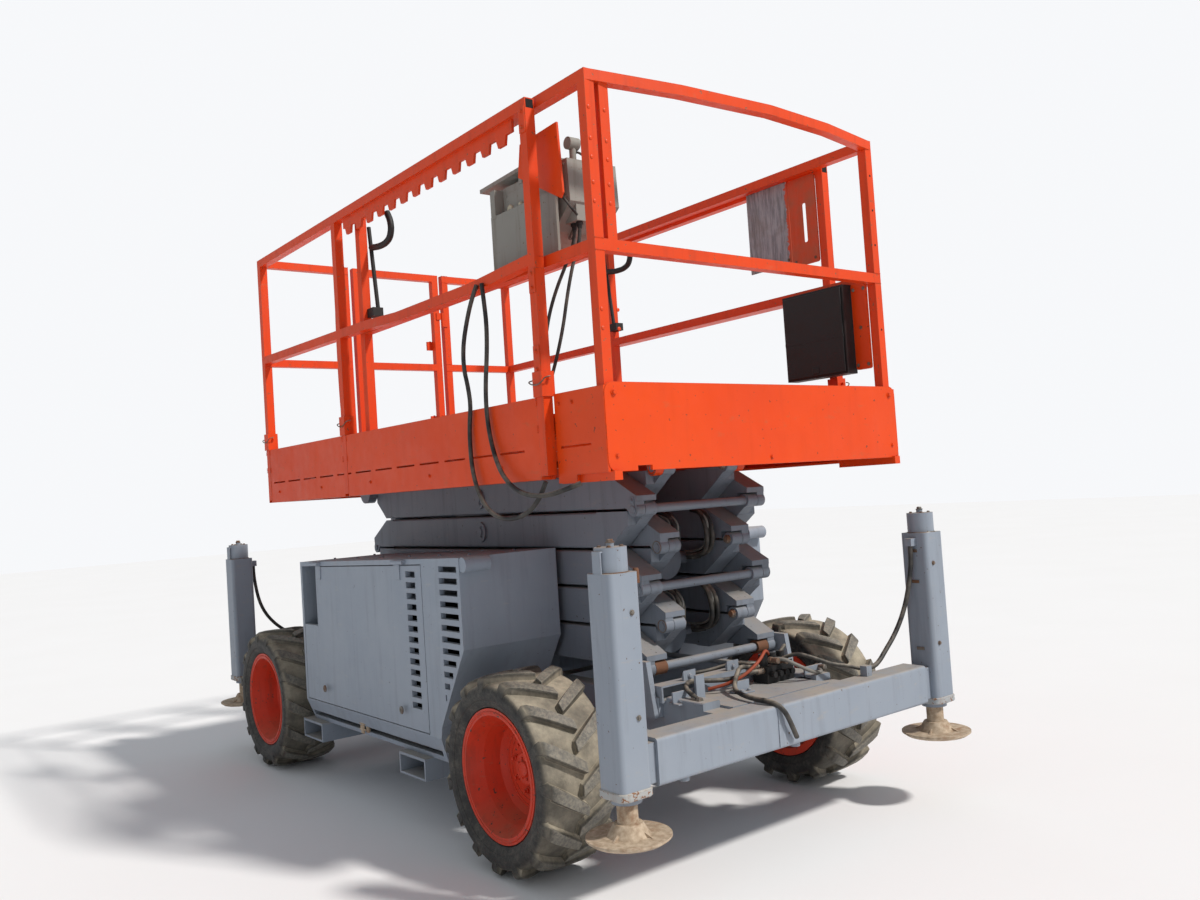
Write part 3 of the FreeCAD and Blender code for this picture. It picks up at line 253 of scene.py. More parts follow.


# Dust lies in the tread's valleys, in patches, and thins on faces turned down, which paints shade on the
# lower tread; bar tops are rubbed grey and sidewalls stay black.

rubberStyle = {
    "base": tone(25, 25, 26), "grey": tone(112, 109, 102), "dust": tone(174, 164, 145),
    "patch": (16, 7, 0.65, 0.34, 0.66), "fine": (85, 5, 0.7, 0.4, 0.66), "patchShare": 0.16,
    "treadFrom": (0.296, 0.312), "treadWide": (0.150, 0.138),  # reach and half width
    "valley": (0.338, 0.328), "top": (0.334, 0.342), "topRange": (0.55, 0.95),
    "up": (-0.7, 0.6), "fall": (5, 4, 0.6, 0.3, 0.55), "dustAndShadeRange": (0.3, 1.0),
    "dustRange": (0.5, 1.0), "topDust": 0.35, "wallDust": 0.16, "edgeReach": 0.005, "edgeDust": 0.4,
    "rings": 420.0, "ringDepth": 0.0005, "ringShare": 0.25,
    "skin": (160, 5, 0.6, 0.2, 0.8), "skinDepth": 0.0014, "skinShare": 0.7, "rough": (0.62, 0.92),
}


def tyreRubber(name, hubX, style):
    shader = Shader(name)
    grey, dust = style["grey"], style["dust"]
    hub = shader.vectors("SUBTRACT", shader.place, (hubX, 0, hubHeight))
    reach = shader.vectors("LENGTH", shader.vectors("MULTIPLY", hub, (1, 0, 1)), output="Value")
    across = shader.maths("ABSOLUTE", shader.part(shader.place, "Y"))
    across = shader.maths("ABSOLUTE", shader.maths("SUBTRACT", across, wheelPlane))
    patch = shader.noise(style["patch"])
    fine = shader.noise(style["fine"])
    onTread = shader.times(shader.span(reach, *style["treadFrom"]), shader.span(across, *style["treadWide"]))
    valley = shader.times(onTread, shader.span(reach, *style["valley"]))
    top = shader.span(reach, *style["top"])
    colour = shader.mix(shader.times(patch, style["patchShare"]), style["base"], grey)
    colour = shader.mix(shader.times(top, shader.span(patch, 0, 1, *style["topRange"])), colour, grey)
    # patchy real dust, less on faces turned down: painted shade on the lower tread
    dustAndShade = shader.times(shader.upward(*style["up"]), shader.noise(style["fall"]))
    dusty = shader.times(valley, shader.span(patch, 0, 1, *style["dustRange"]),
                         shader.span(dustAndShade, 0, 1, *style["dustAndShadeRange"]))
    colour = shader.mix(dusty, colour, dust)
    colour = shader.mix(shader.times(fine, top, style["topDust"]), colour, dust)
    colour = shader.mix(shader.times(patch, fine, style["wallDust"]), colour, dust)
    edge = shader.times(shader.edge(style["edgeReach"]), onTread, style["edgeDust"])
    colour = shader.mix(edge, colour, dust)
    rings = shader.maths("SINE", shader.maths("MULTIPLY", reach, style["rings"]))
    shader.bump((rings, style["ringDepth"], style["ringShare"]),
                (shader.noise(style["skin"]), style["skinDepth"], style["skinShare"]))
    return shader.feed(Base_Color=colour, Roughness=shader.span(dusty, 0, 1, *style["rough"]))


# The hung plates are one node: a scraped grey plate beside an orange one, told apart by place.

signStyle = {
    "pale": tone(158, 160, 166), "dark": tone(116, 118, 124), "glue": tone(120, 112, 104),
    "orange": tone(206, 70, 26), "faded": tone(164, 92, 62), "edge": 1.212 + shift, "edgeHalf": 0.002,
    "scrape": (1, 6, 0.7, 0.42, 0.62), "scrapeStretch": (90, 90, 9), "scrapeDepth": 0.0004,
    "spots": (9, 5, 0.6, 0.5, 0.7), "spotsRange": (0, 0.6), "fade": (14, 5, 0.6, 0.35, 0.7),
    "fadeRange": (0, 0.7), "ragged": (30, 5, 0.7, 0.3, 0.7), "raggedRange": (-0.012, 0.012),
    "wave": (7, 3, 0.4, 0.25, 0.75), "waveDepth": 0.003, "rough": (0.5, 0.7),
}


def signPaint(name, style):
    shader = Shader(name)
    scraped = shader.noise(style["scrape"], shader.stretch(style["scrapeStretch"]))
    grey = shader.mix(scraped, style["pale"], style["dark"])
    grey = shader.mix(shader.noise(style["spots"], out=style["spotsRange"]), grey, style["glue"])
    fade = shader.noise(style["fade"], out=style["fadeRange"])
    faded = shader.mix(fade, style["orange"], style["faded"])
    ragged = shader.noise(style["ragged"], out=style["raggedRange"])
    where = shader.maths("ADD", shader.part(shader.place, "X"), ragged)
    share = shader.span(where, style["edge"] - style["edgeHalf"], style["edge"] + style["edgeHalf"])
    colour = shader.mix(share, grey, faded)
    shader.bump((shader.noise(style["wave"]), style["waveDepth"], 0.6),
                (scraped, style["scrapeDepth"], 0.4))
    return shader.feed(Base_Color=colour, Roughness=shader.span(scraped, 0, 1, *style["rough"]))


# Colours are display values; bare is what shows through chips, grime runs down the sides.

paints = {
    "deckOrange": {"base": (226, 72, 10), "faded": (214, 62, 14), "bare": (96, 56, 40),
                   "dust": (170, 100, 62), "grime": (128, 44, 20), "rough": 0.34, "dents": 1.0,
                   "chips": 0.69, "dustShare": 0.4, "streaks": 0.07},
    "railOrange": {"base": (226, 70, 16), "faded": (208, 62, 22), "bare": (132, 88, 62),
                   "dust": (178, 108, 74), "grime": (112, 44, 26), "rough": 0.38, "dents": 0.12,
                   "chips": 0.67, "edgeWear": 0.8, "dustShare": 0.35, "streaks": 0.22},
    "rimOrange": {"base": (214, 58, 28), "faded": (184, 56, 36), "bare": (84, 60, 50),
                  "dust": (150, 104, 80), "grime": (92, 50, 38), "dents": 0.1, "dustShare": 0.6,
                  "streaks": 0.4},
    "chassisGrey": {"base": (134, 143, 156), "faded": (150, 157, 167), "bare": (96, 78, 66),
                    "dust": (168, 156, 138), "grime": (92, 92, 94), "dents": 0.22, "chips": 0.7,
                    "dustShare": 0.7, "streaks": 0.28},
    "podGrey": {"base": (140, 150, 164), "faded": (154, 162, 173), "bare": (92, 80, 72),
                "dust": (172, 170, 164), "grime": (104, 108, 114), "dents": 0.75, "chips": 0.72,
                "dustShare": 0.55, "streaks": 0.24},
    "stackGrey": {"base": (112, 120, 132), "faded": (130, 137, 147), "bare": (70, 58, 50),
                  "dust": (150, 142, 130), "grime": (66, 64, 64), "dents": 0.1, "chips": 0.7,
                  "dustShare": 0.75, "streaks": 0.3},
    "boxGrey": {"base": (138, 136, 130), "faded": (152, 150, 144), "bare": (110, 84, 62),
                "dust": (160, 150, 134), "grime": (96, 80, 64), "rough": 0.6, "dents": 0.15,
                "chips": 0.69, "streaks": 0.55},
    "wornGrey": {"base": (160, 164, 168), "faded": (176, 174, 168), "bare": (132, 92, 64),
                 "dust": (160, 146, 124), "grime": (128, 98, 74), "rough": 0.6, "dents": 0.3,
                 "chips": 0.57, "edgeWear": 1.0, "dustShare": 0.4, "streaks": 0.6},
}
metals = {
    "rusty": {"base": (194, 176, 154), "dark": (156, 136, 114), "rust": (140, 106, 80),
              "rough": 0.75, "rusty": 0.10, "metallic": 0.1},
    "padSteel": {"base": (198, 180, 158), "dark": (164, 142, 120), "rust": (146, 112, 84),
                 "rough": 0.75, "rusty": 0.12, "metallic": 0.1},
    "bright": {"base": (205, 207, 210), "dark": (160, 163, 168), "rust": (120, 92, 70),
               "rough": 0.26, "rusty": 0.06, "metallic": 1.0},
    "bolt": {"base": (150, 148, 142), "dark": (104, 100, 94), "rust": (112, 80, 58),
             "rough": 0.42, "rusty": 0.22, "metallic": 0.8},
    "bush": {"base": (124, 84, 60), "dark": (86, 60, 46), "rust": (110, 74, 52),
             "rough": 0.5, "rusty": 0.3, "metallic": 0.6},
    "iron": {"base": (56, 55, 53), "dark": (40, 39, 38), "rust": (74, 58, 46),
             "rough": 0.6, "rusty": 0.2, "metallic": 0.5},
}
softs = {
    "blackPlastic": {"base": (24, 24, 26), "dust": (96, 88, 80), "rough": 0.5, "dustShare": 0.22},
    "grip": {"base": (22, 22, 23), "dust": (80, 76, 72), "rough": 0.55, "dustShare": 0.2,
             "grainSize": 500, "depth": 0.0006},
    "hose": {"base": (30, 30, 31), "dust": (140, 132, 120), "rough": 0.55, "dustShare": 1.0,
             "grainSize": 600, "depth": 0.0003},
    "hoseGrey": {"base": (118, 116, 112), "dust": (150, 140, 126), "rough": 0.6, "dustShare": 0.3,
                 "grainSize": 500, "depth": 0.0003},
    "hoseOrange": {"base": (150, 62, 34), "dust": (120, 92, 74), "rough": 0.6, "dustShare": 0.35,
                   "grainSize": 500, "depth": 0.0003},
    # near-black: painted shade for the hollow insides of open tube ends and holes
    "paintedShadeInside": {"base": (14, 14, 15), "dust": (60, 56, 52), "rough": 0.9, "dustShare": 0.3},
    "stopRed": {"base": (176, 28, 22), "dust": (140, 84, 66), "rough": 0.35, "dustShare": 0.2,
                "grainSize": 300, "depth": 0.0002},
    "lens": {"base": (196, 188, 164), "dust": (150, 140, 120), "rough": 0.22, "dustShare": 0.2,
             "grainSize": 300, "depth": 0.0002},
}
looks = {"hungPlates": signPaint("hungPlates", signStyle)}
for maker, styles in ((paint, paints), (metal, metals), (soft, softs)):
    for name, style in styles.items():
        looks[name] = maker(name, **style)
for end, hubX in (("front", axlePlace + shift), ("rear", shift - axlePlace)):
    looks[end + "Tyre"] = tyreRubber(end + "Tyre", hubX, rubberStyle)

nodeLooks = {
    "deckOrange": ["main_deck", "rollout_deck", "control_guard", "manual_plate"],
    "railOrange": ["guard_rails", "entry_gate", "rollout_rails"],
    "podGrey": ["left_pod", "right_pod", "left_pod_door", "right_pod_door"],
    "chassisGrey": ["main_frame", "front_outrigger_frame", "rear_outrigger_frame", "front_axle",
                    "rear_axle", "front_left_knuckle", "front_right_knuckle"],
    "stackGrey": ["%s_arms_%d" % (kind, k) for kind in ("outer", "inner") for k in range(1, 6)]
                 + ["lower_cylinder_barrel", "upper_cylinder_barrel"],
    "bright": ["lower_cylinder_rod", "upper_cylinder_rod"],
    "rusty": ["tie_rod"] + ["%s_%s_leg" % (a, b) for a in ("front", "rear") for b in ("left", "right")],
    "rimOrange": ["%s_%s_rim" % (a, b) for a in ("front", "rear") for b in ("left", "right")],
    "frontTyre": ["front_left_tyre", "front_right_tyre"],
    "rearTyre": ["rear_left_tyre", "rear_right_tyre"],
    "bush": ["pivot_bushes"], "iron": ["engine_block"], "boxGrey": ["control_box"],
    "hungPlates": ["sign_panels"], "blackPlastic": ["manual_box", "front_valves"],
    "grip": ["release_levers"], "hose": ["stack_hoses_1", "stack_hoses_3"],
}
for look, names in nodeLooks.items():
    for name in names:
        item = nodes.get(name)
        if item is None:
            print("no node", name)
            continue
        item.data.materials.clear()
        item.data.materials.append(looks[look])
print("materials done")

# Free cables and hoses, first: each is one smooth curve on the part's own route.

cordStyle = {
    "rail_cable_long": {"body": "deck", "reach": 0.008, "length": 1.245},
    "rail_cable_short": {"body": "deck", "reach": 0.008, "length": 1.120},
    "box_cable_rear": {"body": "rollout_deck", "reach": 0.006, "length": 0.679},
    "box_cable_front": {"body": "rollout_deck", "reach": 0.006, "length": 0.670},
    "left_leg_hose": {"body": "chassis", "reach": 0.009, "length": 0.570},
    "rear_leg_hose": {"body": "chassis", "reach": 0.009, "length": 0.570},
}
legRoute = [(1.729, 0.708, 0.9998), (1.729, 0.708, 0.950), (1.722, 0.704, 0.895),
            (1.714, 0.698, 0.840), (1.706, 0.686, 0.786), (1.700, 0.664, 0.735),
            (1.697, 0.632, 0.690), (1.696, 0.592, 0.650), (1.697, 0.546, 0.616),
            (1.700, 0.502, 0.584), (1.700, 0.466, 0.568), (1.700, 0.4302, 0.568)]
cordRoutes = {
    "rail_cable_long": [(1.062, -0.7822, 2.052), (1.030, -0.787, 2.006), (0.992, -0.790, 1.930),
                        (0.962, -0.792, 1.850), (0.953, -0.790, 1.770), (0.972, -0.788, 1.700),
                        (0.980, -0.786, 1.630), (0.963, -0.786, 1.560), (0.962, -0.788, 1.480),
                        (0.974, -0.792, 1.400), (1.008, -0.795, 1.320), (1.068, -0.796, 1.254),
                        (1.146, -0.796, 1.222), (1.228, -0.794, 1.218), (1.310, -0.790, 1.236),
                        (1.376, -0.784, 1.282), (1.404, -0.776, 1.337)],
    "rail_cable_short": [(1.096, -0.7822, 2.050), (1.110, -0.786, 1.990), (1.122, -0.788, 1.900),
                         (1.116, -0.790, 1.800), (1.092, -0.788, 1.700), (1.084, -0.787, 1.610),
                         (1.096, -0.788, 1.520), (1.128, -0.792, 1.440), (1.186, -0.803, 1.370),
                         (1.262, -0.808, 1.320), (1.350, -0.809, 1.294), (1.440, -0.802, 1.290),
                         (1.520, -0.782, 1.306), (1.560, -0.752, 1.323)],
    "box_cable_rear": [(1.416, -0.600, 2.2048), (1.416, -0.600, 2.150), (1.398, -0.630, 2.070),
                       (1.362, -0.652, 1.990), (1.328, -0.664, 1.910), (1.306, -0.670, 1.830),
                       (1.292, -0.680, 1.750), (1.282, -0.692, 1.680), (1.272, -0.704, 1.615),
                       (1.272, -0.704, 1.5582)],
    "box_cable_front": [(1.446, -0.600, 2.2048), (1.446, -0.600, 2.150), (1.438, -0.626, 2.080),
                        (1.428, -0.642, 2.010), (1.416, -0.654, 1.935), (1.402, -0.662, 1.860),
                        (1.380, -0.672, 1.780), (1.356, -0.686, 1.700), (1.332, -0.702, 1.625),
                        (1.332, -0.702, 1.5582)],
    "left_leg_hose": legRoute,
    "rear_leg_hose": [(-x - 2 * shift, -y, z) for x, y, z in legRoute],
}


strandStyle = {"around": 4, "along": 8, "order": 3}


def curvePiece(name, points, reach, look, body):  # a smooth round strand along its control points
    data = bpy.data.curves.new(name, "CURVE")
    data.dimensions = "3D"
    data.bevel_depth = reach
    data.bevel_resolution = strandStyle["around"]
    data.resolution_u = strandStyle["along"]
    data.use_fill_caps = True
    line = data.splines.new("NURBS")
    line.points.add(len(points) - 1)
    for spot, point in zip(line.points, points):
        spot.co = (*at(*point), 1)
    line.order_u = strandStyle["order"]
    line.use_endpoint_u = True
    piece = bpy.data.objects.new(name, data)
    scene.collection.objects.link(piece)
    data.materials.append(looks[look])
    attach(piece, body)
    return piece


for name, style in cordStyle.items():
    route = cordRoutes[name]
    cord = curvePiece(name + "_line", route, style["reach"], "hose", style["body"])
    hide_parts(name)
print("cords done")

# Mesh helpers: every piece is gathered in one mesh and finished by addPiece.


def addPiece(name, mesh, look, body, smooth=30, edges=0.0):
    data = bpy.data.meshes.new(name)
    bmesh.ops.recalc_face_normals(mesh, faces=mesh.faces)
    mesh.to_mesh(data)
    mesh.free()
    piece = bpy.data.objects.new(name, data)
    scene.collection.objects.link(piece)
    data.materials.append(looks[look])
    if edges:
        bevel = piece.modifiers.new("edges", "BEVEL")
        bevel.width = edges
        bevel.segments = 2
        bevel.limit_method = "ANGLE"
    if smooth:
        for face in data.polygons:
            face.use_smooth = True
        data.set_sharp_from_angle(angle=math.radians(smooth))
    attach(piece, body)
    return piece


def place(axis, spot):  # a frame whose Z runs along axis, at a spot
    return Matrix.Translation(spot) @ Vector(axis).to_track_quat("Z", "Y").to_matrix().to_4x4()


def stepAngle(i, count):  # the angle of step i when a full turn has count steps
    return 2 * math.pi * i / count


def joinRings(mesh, first, second):  # a band of faces between two rings of vertices
    for i in range(len(first)):
        j = (i + 1) % len(first)
        mesh.faces.new((first[i], first[j], second[j], second[i]))


def addBox(mesh, low, high):
    size = [b - a for a, b in zip(low, high)]
    middle = [(a + b) / 2 for a, b in zip(low, high)]
    scale = Matrix.Diagonal((*size, 1))
    bmesh.ops.create_cube(mesh, size=1, matrix=Matrix.Translation(middle) @ scale)


def addRod(mesh, start, stop, reach, sides):
    start, stop = Vector(start), Vector(stop)
    way = stop - start
    bmesh.ops.create_cone(mesh, cap_ends=True, segments=sides, radius1=reach, radius2=reach,
                          depth=way.length, matrix=place(way, (start + stop) / 2))


def addTurned(mesh, spot, axis, profile, sides):  # profile: pairs of distance along and reach
    turn = place(axis, spot)
    rings = []
    for along, reach in profile:
        rings.append([mesh.verts.new(turn @ Vector((reach * math.cos(stepAngle(i, sides)),
                                                    reach * math.sin(stepAngle(i, sides)), along)))
                      for i in range(sides)])
    for lower, upper in zip(rings, rings[1:]):
        joinRings(mesh, lower, upper)
    mesh.faces.new(rings[0][::-1])
    mesh.faces.new(rings[-1])


boltStyle = {"lift": 0.22, "washer": [(0, 1.35), (0.22, 1.35), (0.25, 1.2)],
             "head": [(0, 1), (0.62, 1), (0.82, 0.78)]}  # shares of half the head's width


def addBolt(mesh, spot, axis, size):
    washer = [(along * size, reach * size) for along, reach in boltStyle["washer"]]
    head = [(along * size, reach * size) for along, reach in boltStyle["head"]]
    top = Vector(spot) + Vector(axis).normalized() * size * boltStyle["lift"]
    addTurned(mesh, spot, axis, washer, 20)
    addTurned(mesh, top, axis, head, 6)


def addSlab(mesh, outline, low, high):  # an outline in X and Z, pushed from low to high along Y
    first = [mesh.verts.new((x, low, z)) for x, z in outline]
    second = [mesh.verts.new((x, high, z)) for x, z in outline]
    mesh.faces.new(first[::-1])
    mesh.faces.new(second)
    joinRings(mesh, first, second)


beadStyle = {"reach": 0.0028, "step": 0.006, "spread": (0.85, 1.15)}


def addBead(mesh, start, stop, reach=beadStyle["reach"]):  # a weld: small lumps along a line
    start, stop = Vector(start), Vector(stop)
    count = max(2, int((stop - start).length / beadStyle["step"]))
    for i in range(count + 1):
        spot = start.lerp(stop, i / count)
        size = reach * random.uniform(*beadStyle["spread"])
        bmesh.ops.create_icosphere(mesh, subdivisions=1, radius=size, matrix=Matrix.Translation(spot))


def addRing(mesh, spot, axis, reach, thick, sides=64, around=8):  # a weld or a pressed rib
    turn = place(axis, spot)
    rows = []
    for i in range(sides):
        angle = stepAngle(i, sides)
        row = []
        for j in range(around):
            bend = stepAngle(j, around)
            far = reach + thick * math.cos(bend)
            row.append(mesh.verts.new(turn @ Vector((far * math.cos(angle), far * math.sin(angle),
                                                     thick * math.sin(bend)))))
        rows.append(row)
    for first, second in zip(rows, rows[1:] + rows[:1]):
        joinRings(mesh, first, second)


# Tyres: a round carcass with long, low, worn bars that meet in a chevron.
# A bar's row is its distance across, its top's reach, its half width and its foot's reach.

tyreStyle = {
    "bars": 15, "sides": 120, "lean": -1, "swing": 0.62, "bendFrom": 0.066, "bendTo": 0.142,
    "bendReach": 0.33, "treadReach": 0.34, "wear": 0.0016, "footMore": 0.006, "topLess": 0.0035,
    "crown": 0.338, "tuck": 0.02, "middle": -0.012, "smooth": 38, "edges": 0.0035,
}
sidewall = [(0.1134, 0.2085), (0.1174, 0.2306), (0.130, 0.2333), (0.1345, 0.2430), (0.1412, 0.2540),
            (0.1418, 0.2600), (0.1448, 0.2612), (0.1476, 0.2720), (0.1480, 0.2860), (0.1455, 0.2980),
            (0.1380, 0.3080), (0.1240, 0.3135), (0.0900, 0.3165), (0.0400, 0.3185)]
barLine = [(-0.012, 0.3436, 0.020, 0.312), (0.020, 0.3446, 0.023, 0.313), (0.060, 0.3446, 0.0245, 0.312),
           (0.100, 0.3434, 0.026, 0.308), (0.126, 0.3400, 0.027, 0.302), (0.1415, 0.3310, 0.026, 0.296),
           (0.1485, 0.3150, 0.023, 0.290), (0.1492, 0.2960, 0.019, 0.280), (0.1482, 0.2830, 0.014, 0.274)]


def hubPlace(end, side):  # the hub's middle, and the way that faces outward
    outward = 1 if side == "left" else -1
    axle = axlePlace if end == "front" else -axlePlace
    return Vector((axle + shift, outward * wheelPlane, hubHeight)), outward


def aroundHub(hub, outward, reach, angle, along):
    return hub + Vector((reach * math.sin(angle), outward * along, reach * math.cos(angle)))


def buildTyre(end, side, style):
    mesh = bmesh.new()
    hub, outward = hubPlace(end, side)
    profile = sidewall + [(-v, r) for v, r in reversed(sidewall)]
    sides = style["sides"]
    rings = [[mesh.verts.new(aroundHub(hub, outward, r, stepAngle(i, sides), v)) for i in range(sides)]
             for v, r in profile]
    for first, second in zip(rings, rings[1:] + rings[:1]):
        joinRings(mesh, first, second)
    for half in (1, -1):
        for bar in range(style["bars"]):
            turn = stepAngle(bar + (0.5 if half < 0 else 0), style["bars"])
            wear = random.uniform(0.0, style["wear"])
            previous = None
            for along, reach, wide, foot in barLine:
                swing = style["lean"] * (min(along, style["bendTo"]) - style["bendFrom"]) * style["swing"]
                middle = turn + swing / style["bendReach"]
                onCrown = reach >= style["crown"]
                inner = along if onCrown else max(along - style["tuck"], style["middle"])
                footWide, topWide = wide + style["footMore"], wide - style["topLess"]
                ring = []
                for size, far, flat in ((-footWide, foot, inner), (-topWide, reach - wear, along),
                                        (topWide, reach - wear, along), (footWide, foot, inner)):
                    angle = middle + size / style["treadReach"]
                    ring.append(mesh.verts.new(aroundHub(hub, outward, far, angle, half * flat)))
                if previous:
                    joinRings(mesh, previous, ring)
                else:
                    mesh.faces.new(ring)
                previous = ring
            mesh.faces.new(previous[::-1])
    piece = addPiece("%s_%s_tread" % (end, side), mesh, end + "Tyre", "%s_%s_wheel" % (end, side),
                     style["smooth"], style["edges"])
    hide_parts("%s_%s_tyre" % (end, side))


# Wheels: the hub's cover, wheel nuts on their studs, small bolts, pressed ribs and the valve.

wheelStyle = {
    "cover": [(0, 0.066), (0.006, 0.066), (0.009, 0.062), (0.022, 0.058), (0.026, 0.054),
              (0.0265, 0.030), (0.030, 0.028), (0.036, 0.026), (0.038, 0.020)],
    "coverBack": -0.012, "nuts": 8, "firstNut": 0.3, "nutCircle": 0.086, "nutBack": -0.0095, "nut": 0.0105,
    "stud": 0.0055, "studSpan": (-0.004, 0.010), "boltCircle": 0.036, "boltOut": 0.0145, "bolt": 0.0048,
    "boltTurn": 0.2, "ribs": [(-0.0095, 0.118, 0.0022), (-0.0095, 0.138, 0.0022), (0.129, 0.217, 0.0042)],
    "valveAngle": 2.2, "valve": [(0.186, 0.040), (0.176, 0.074), (0.172, 0.088)],
    "valveReach": (0.0045, 0.0058),
}


def buildWheelFittings(end, side, style):
    mesh = bmesh.new()
    hub, outward = hubPlace(end, side)
    way = Vector((0, outward, 0))

    def around(reach, angle, along):
        return aroundHub(hub, outward, reach, angle, along)

    addTurned(mesh, hub + way * style["coverBack"], way, style["cover"], 40)
    for i in range(style["nuts"]):
        angle = stepAngle(i + style["firstNut"], style["nuts"])
        addBolt(mesh, around(style["nutCircle"], angle, style["nutBack"]), way, style["nut"])
        start, stop = (around(style["nutCircle"], angle, along) for along in style["studSpan"])
        addRod(mesh, start, stop, style["stud"], 12)
        addBolt(mesh, around(style["boltCircle"], angle + style["boltTurn"], style["boltOut"]), way,
                style["bolt"])
    for along, reach, thick in style["ribs"]:
        addRing(mesh, hub + way * along, way, reach, thick)
    addPiece("%s_%s_hub_cover" % (end, side), mesh, "rimOrange", "%s_%s_wheel" % (end, side),
             32, 0.0006)
    mesh = bmesh.new()
    foot, neck, tip = (around(reach, style["valveAngle"], along) for reach, along in style["valve"])
    addRod(mesh, foot, neck, style["valveReach"][0], 12)
    addRod(mesh, neck, tip, style["valveReach"][1], 12)
    addPiece("%s_%s_valve" % (end, side), mesh, "blackPlastic", "%s_%s_wheel" % (end, side))


for end in ("front", "rear"):
    for side in ("left", "right"):
        buildTyre(end, side, tyreStyle)
        buildWheelFittings(end, side, wheelStyle)
print("wheels done")

# Stack: pin ends with keeper plates, centre bosses with their bolts, and weld rings.

stackStyle = {
    "pinOwners": [("outer_arms_1", 0), ("outer_arms_2", 2), ("outer_arms_4", 4)],
    "innerOwners": [("inner_arms_1", 1), ("inner_arms_3", 3), ("inner_arms_5", 5)],
    "pin": 0.016, "dome": (0.003, 0.0045, 0.002), "keeperHalf": 0.011, "keeperThick": 0.0032,
    "keeperRise": 0.030, "keeperBolt": 0.0058, "boltRise": 0.018, "boltOut": 0.003,
    "stub": [(0, 0.017), (0.005, 0.017), (0.008, 0.013), (0.014, 0.012)],
    "weldReach": 0.022, "weldThick": 0.0016, "bossBolts": 3, "bossCircle": 0.0255, "bossBolt": 0.0045,
    "boss": [(0, 0.034), (0.005, 0.034), (0.007, 0.031), (0.007, 0.020), (0.012, 0.0195)],
}


def level(k):
    return levelZero + k * levelPitch


def addPinEnd(mesh, x, y, z, outward, style):  # a domed end, its keeper plate and the bolt
    reach = style["pin"]
    flat, rise, less = style["dome"]
    addTurned(mesh, (x, y, z), (0, outward, 0), [(0, reach), (flat, reach), (rise, reach - less)], 28)
    low = min(y, y + outward * style["keeperThick"])
    high = max(y, y + outward * style["keeperThick"])
    half = style["keeperHalf"]
    addBox(mesh, (x - half, low, z + reach * 0.4), (x + half, high, z + reach + style["keeperRise"]))
    addBolt(mesh, (x, y + outward * style["boltOut"], z + reach + style["boltRise"]), (0, outward, 0),
            style["keeperBolt"])


def buildStack(style):
    for owner, k in style["pinOwners"]:
        mesh = bmesh.new()
        for outward in (1, -1):
            addPinEnd(mesh, frontPin, outward * (outerOut + 0.0005), level(k), outward, style)
        addPiece("front_pin_ends_%d" % k, mesh, "stackGrey", owner, 30, 0.0008)
    for owner, k in style["innerOwners"]:
        mesh = bmesh.new()
        for outward in (1, -1):
            addTurned(mesh, (frontPin, outward * (innerIn - 0.0005), level(k)), (0, -outward, 0),
                      style["stub"], 24)
            addRing(mesh, (frontPin, outward * (innerOut + 0.0006), level(k)), (0, 1, 0),
                    style["weldReach"], style["weldThick"], 40)
        addPiece("inner_pin_ends_%d" % k, mesh, "bolt", owner, 30)
    for k in range(1, 6):
        mesh = bmesh.new()
        x, z = (frontPin + rearPin) / 2, level(k - 0.5)
        for outward in (1, -1):
            addTurned(mesh, (x, outward * (outerOut + 0.0004), z), (0, outward, 0), style["boss"], 36)
            for i in range(style["bossBolts"]):
                angle = stepAngle(i, style["bossBolts"]) + 0.5
                addBolt(mesh, (x + style["bossCircle"] * math.sin(angle), outward * (outerOut + 0.007),
                               z + style["bossCircle"] * math.cos(angle)), (0, outward, 0), style["bossBolt"])
        addPiece("centre_pin_%d" % k, mesh, "stackGrey", "outer_arms_%d" % k, 30)


buildStack(stackStyle)
print("stack fittings done")

# Hoses looped on the arms.

armHoseStyle = {
    "arms": {"inner_arms_1": 1, "inner_arms_3": 3},  # each with the level of its front pin
    "line": [(1.09, 0.122, -0.055), (1.15, 0.124, -0.060), (1.21, 0.118, -0.040), (1.252, 0.108, 0.004),
             (1.256, 0.104, 0.060), (1.226, 0.108, 0.106), (1.160, 0.114, 0.116)],
    "strands": [(0.0, 0.0046, "hoseGrey"), (0.0135, 0.0065, "hose"), (0.027, 0.0046, "hoseGrey")],
    "wander": 0.012, "rise": 0.006,
}


def buildArmHoses(style):
    for body, k in style["arms"].items():
        for side in (1, -1):
            for number, (inset, reach, look) in enumerate(style["strands"]):
                route = [(x + style["wander"] * math.sin(3 * i + number), side * (y - inset),
                          level(k) + z + style["rise"] * number) for i, (x, y, z) in enumerate(style["line"])]
                strand = curvePiece("%s_loop_%s%d" % (body, sideName(side)[0], number), route, reach,
                                    look, body)


buildArmHoses(armHoseStyle)

# Hoses lying on the front pan, with their fittings and brackets.

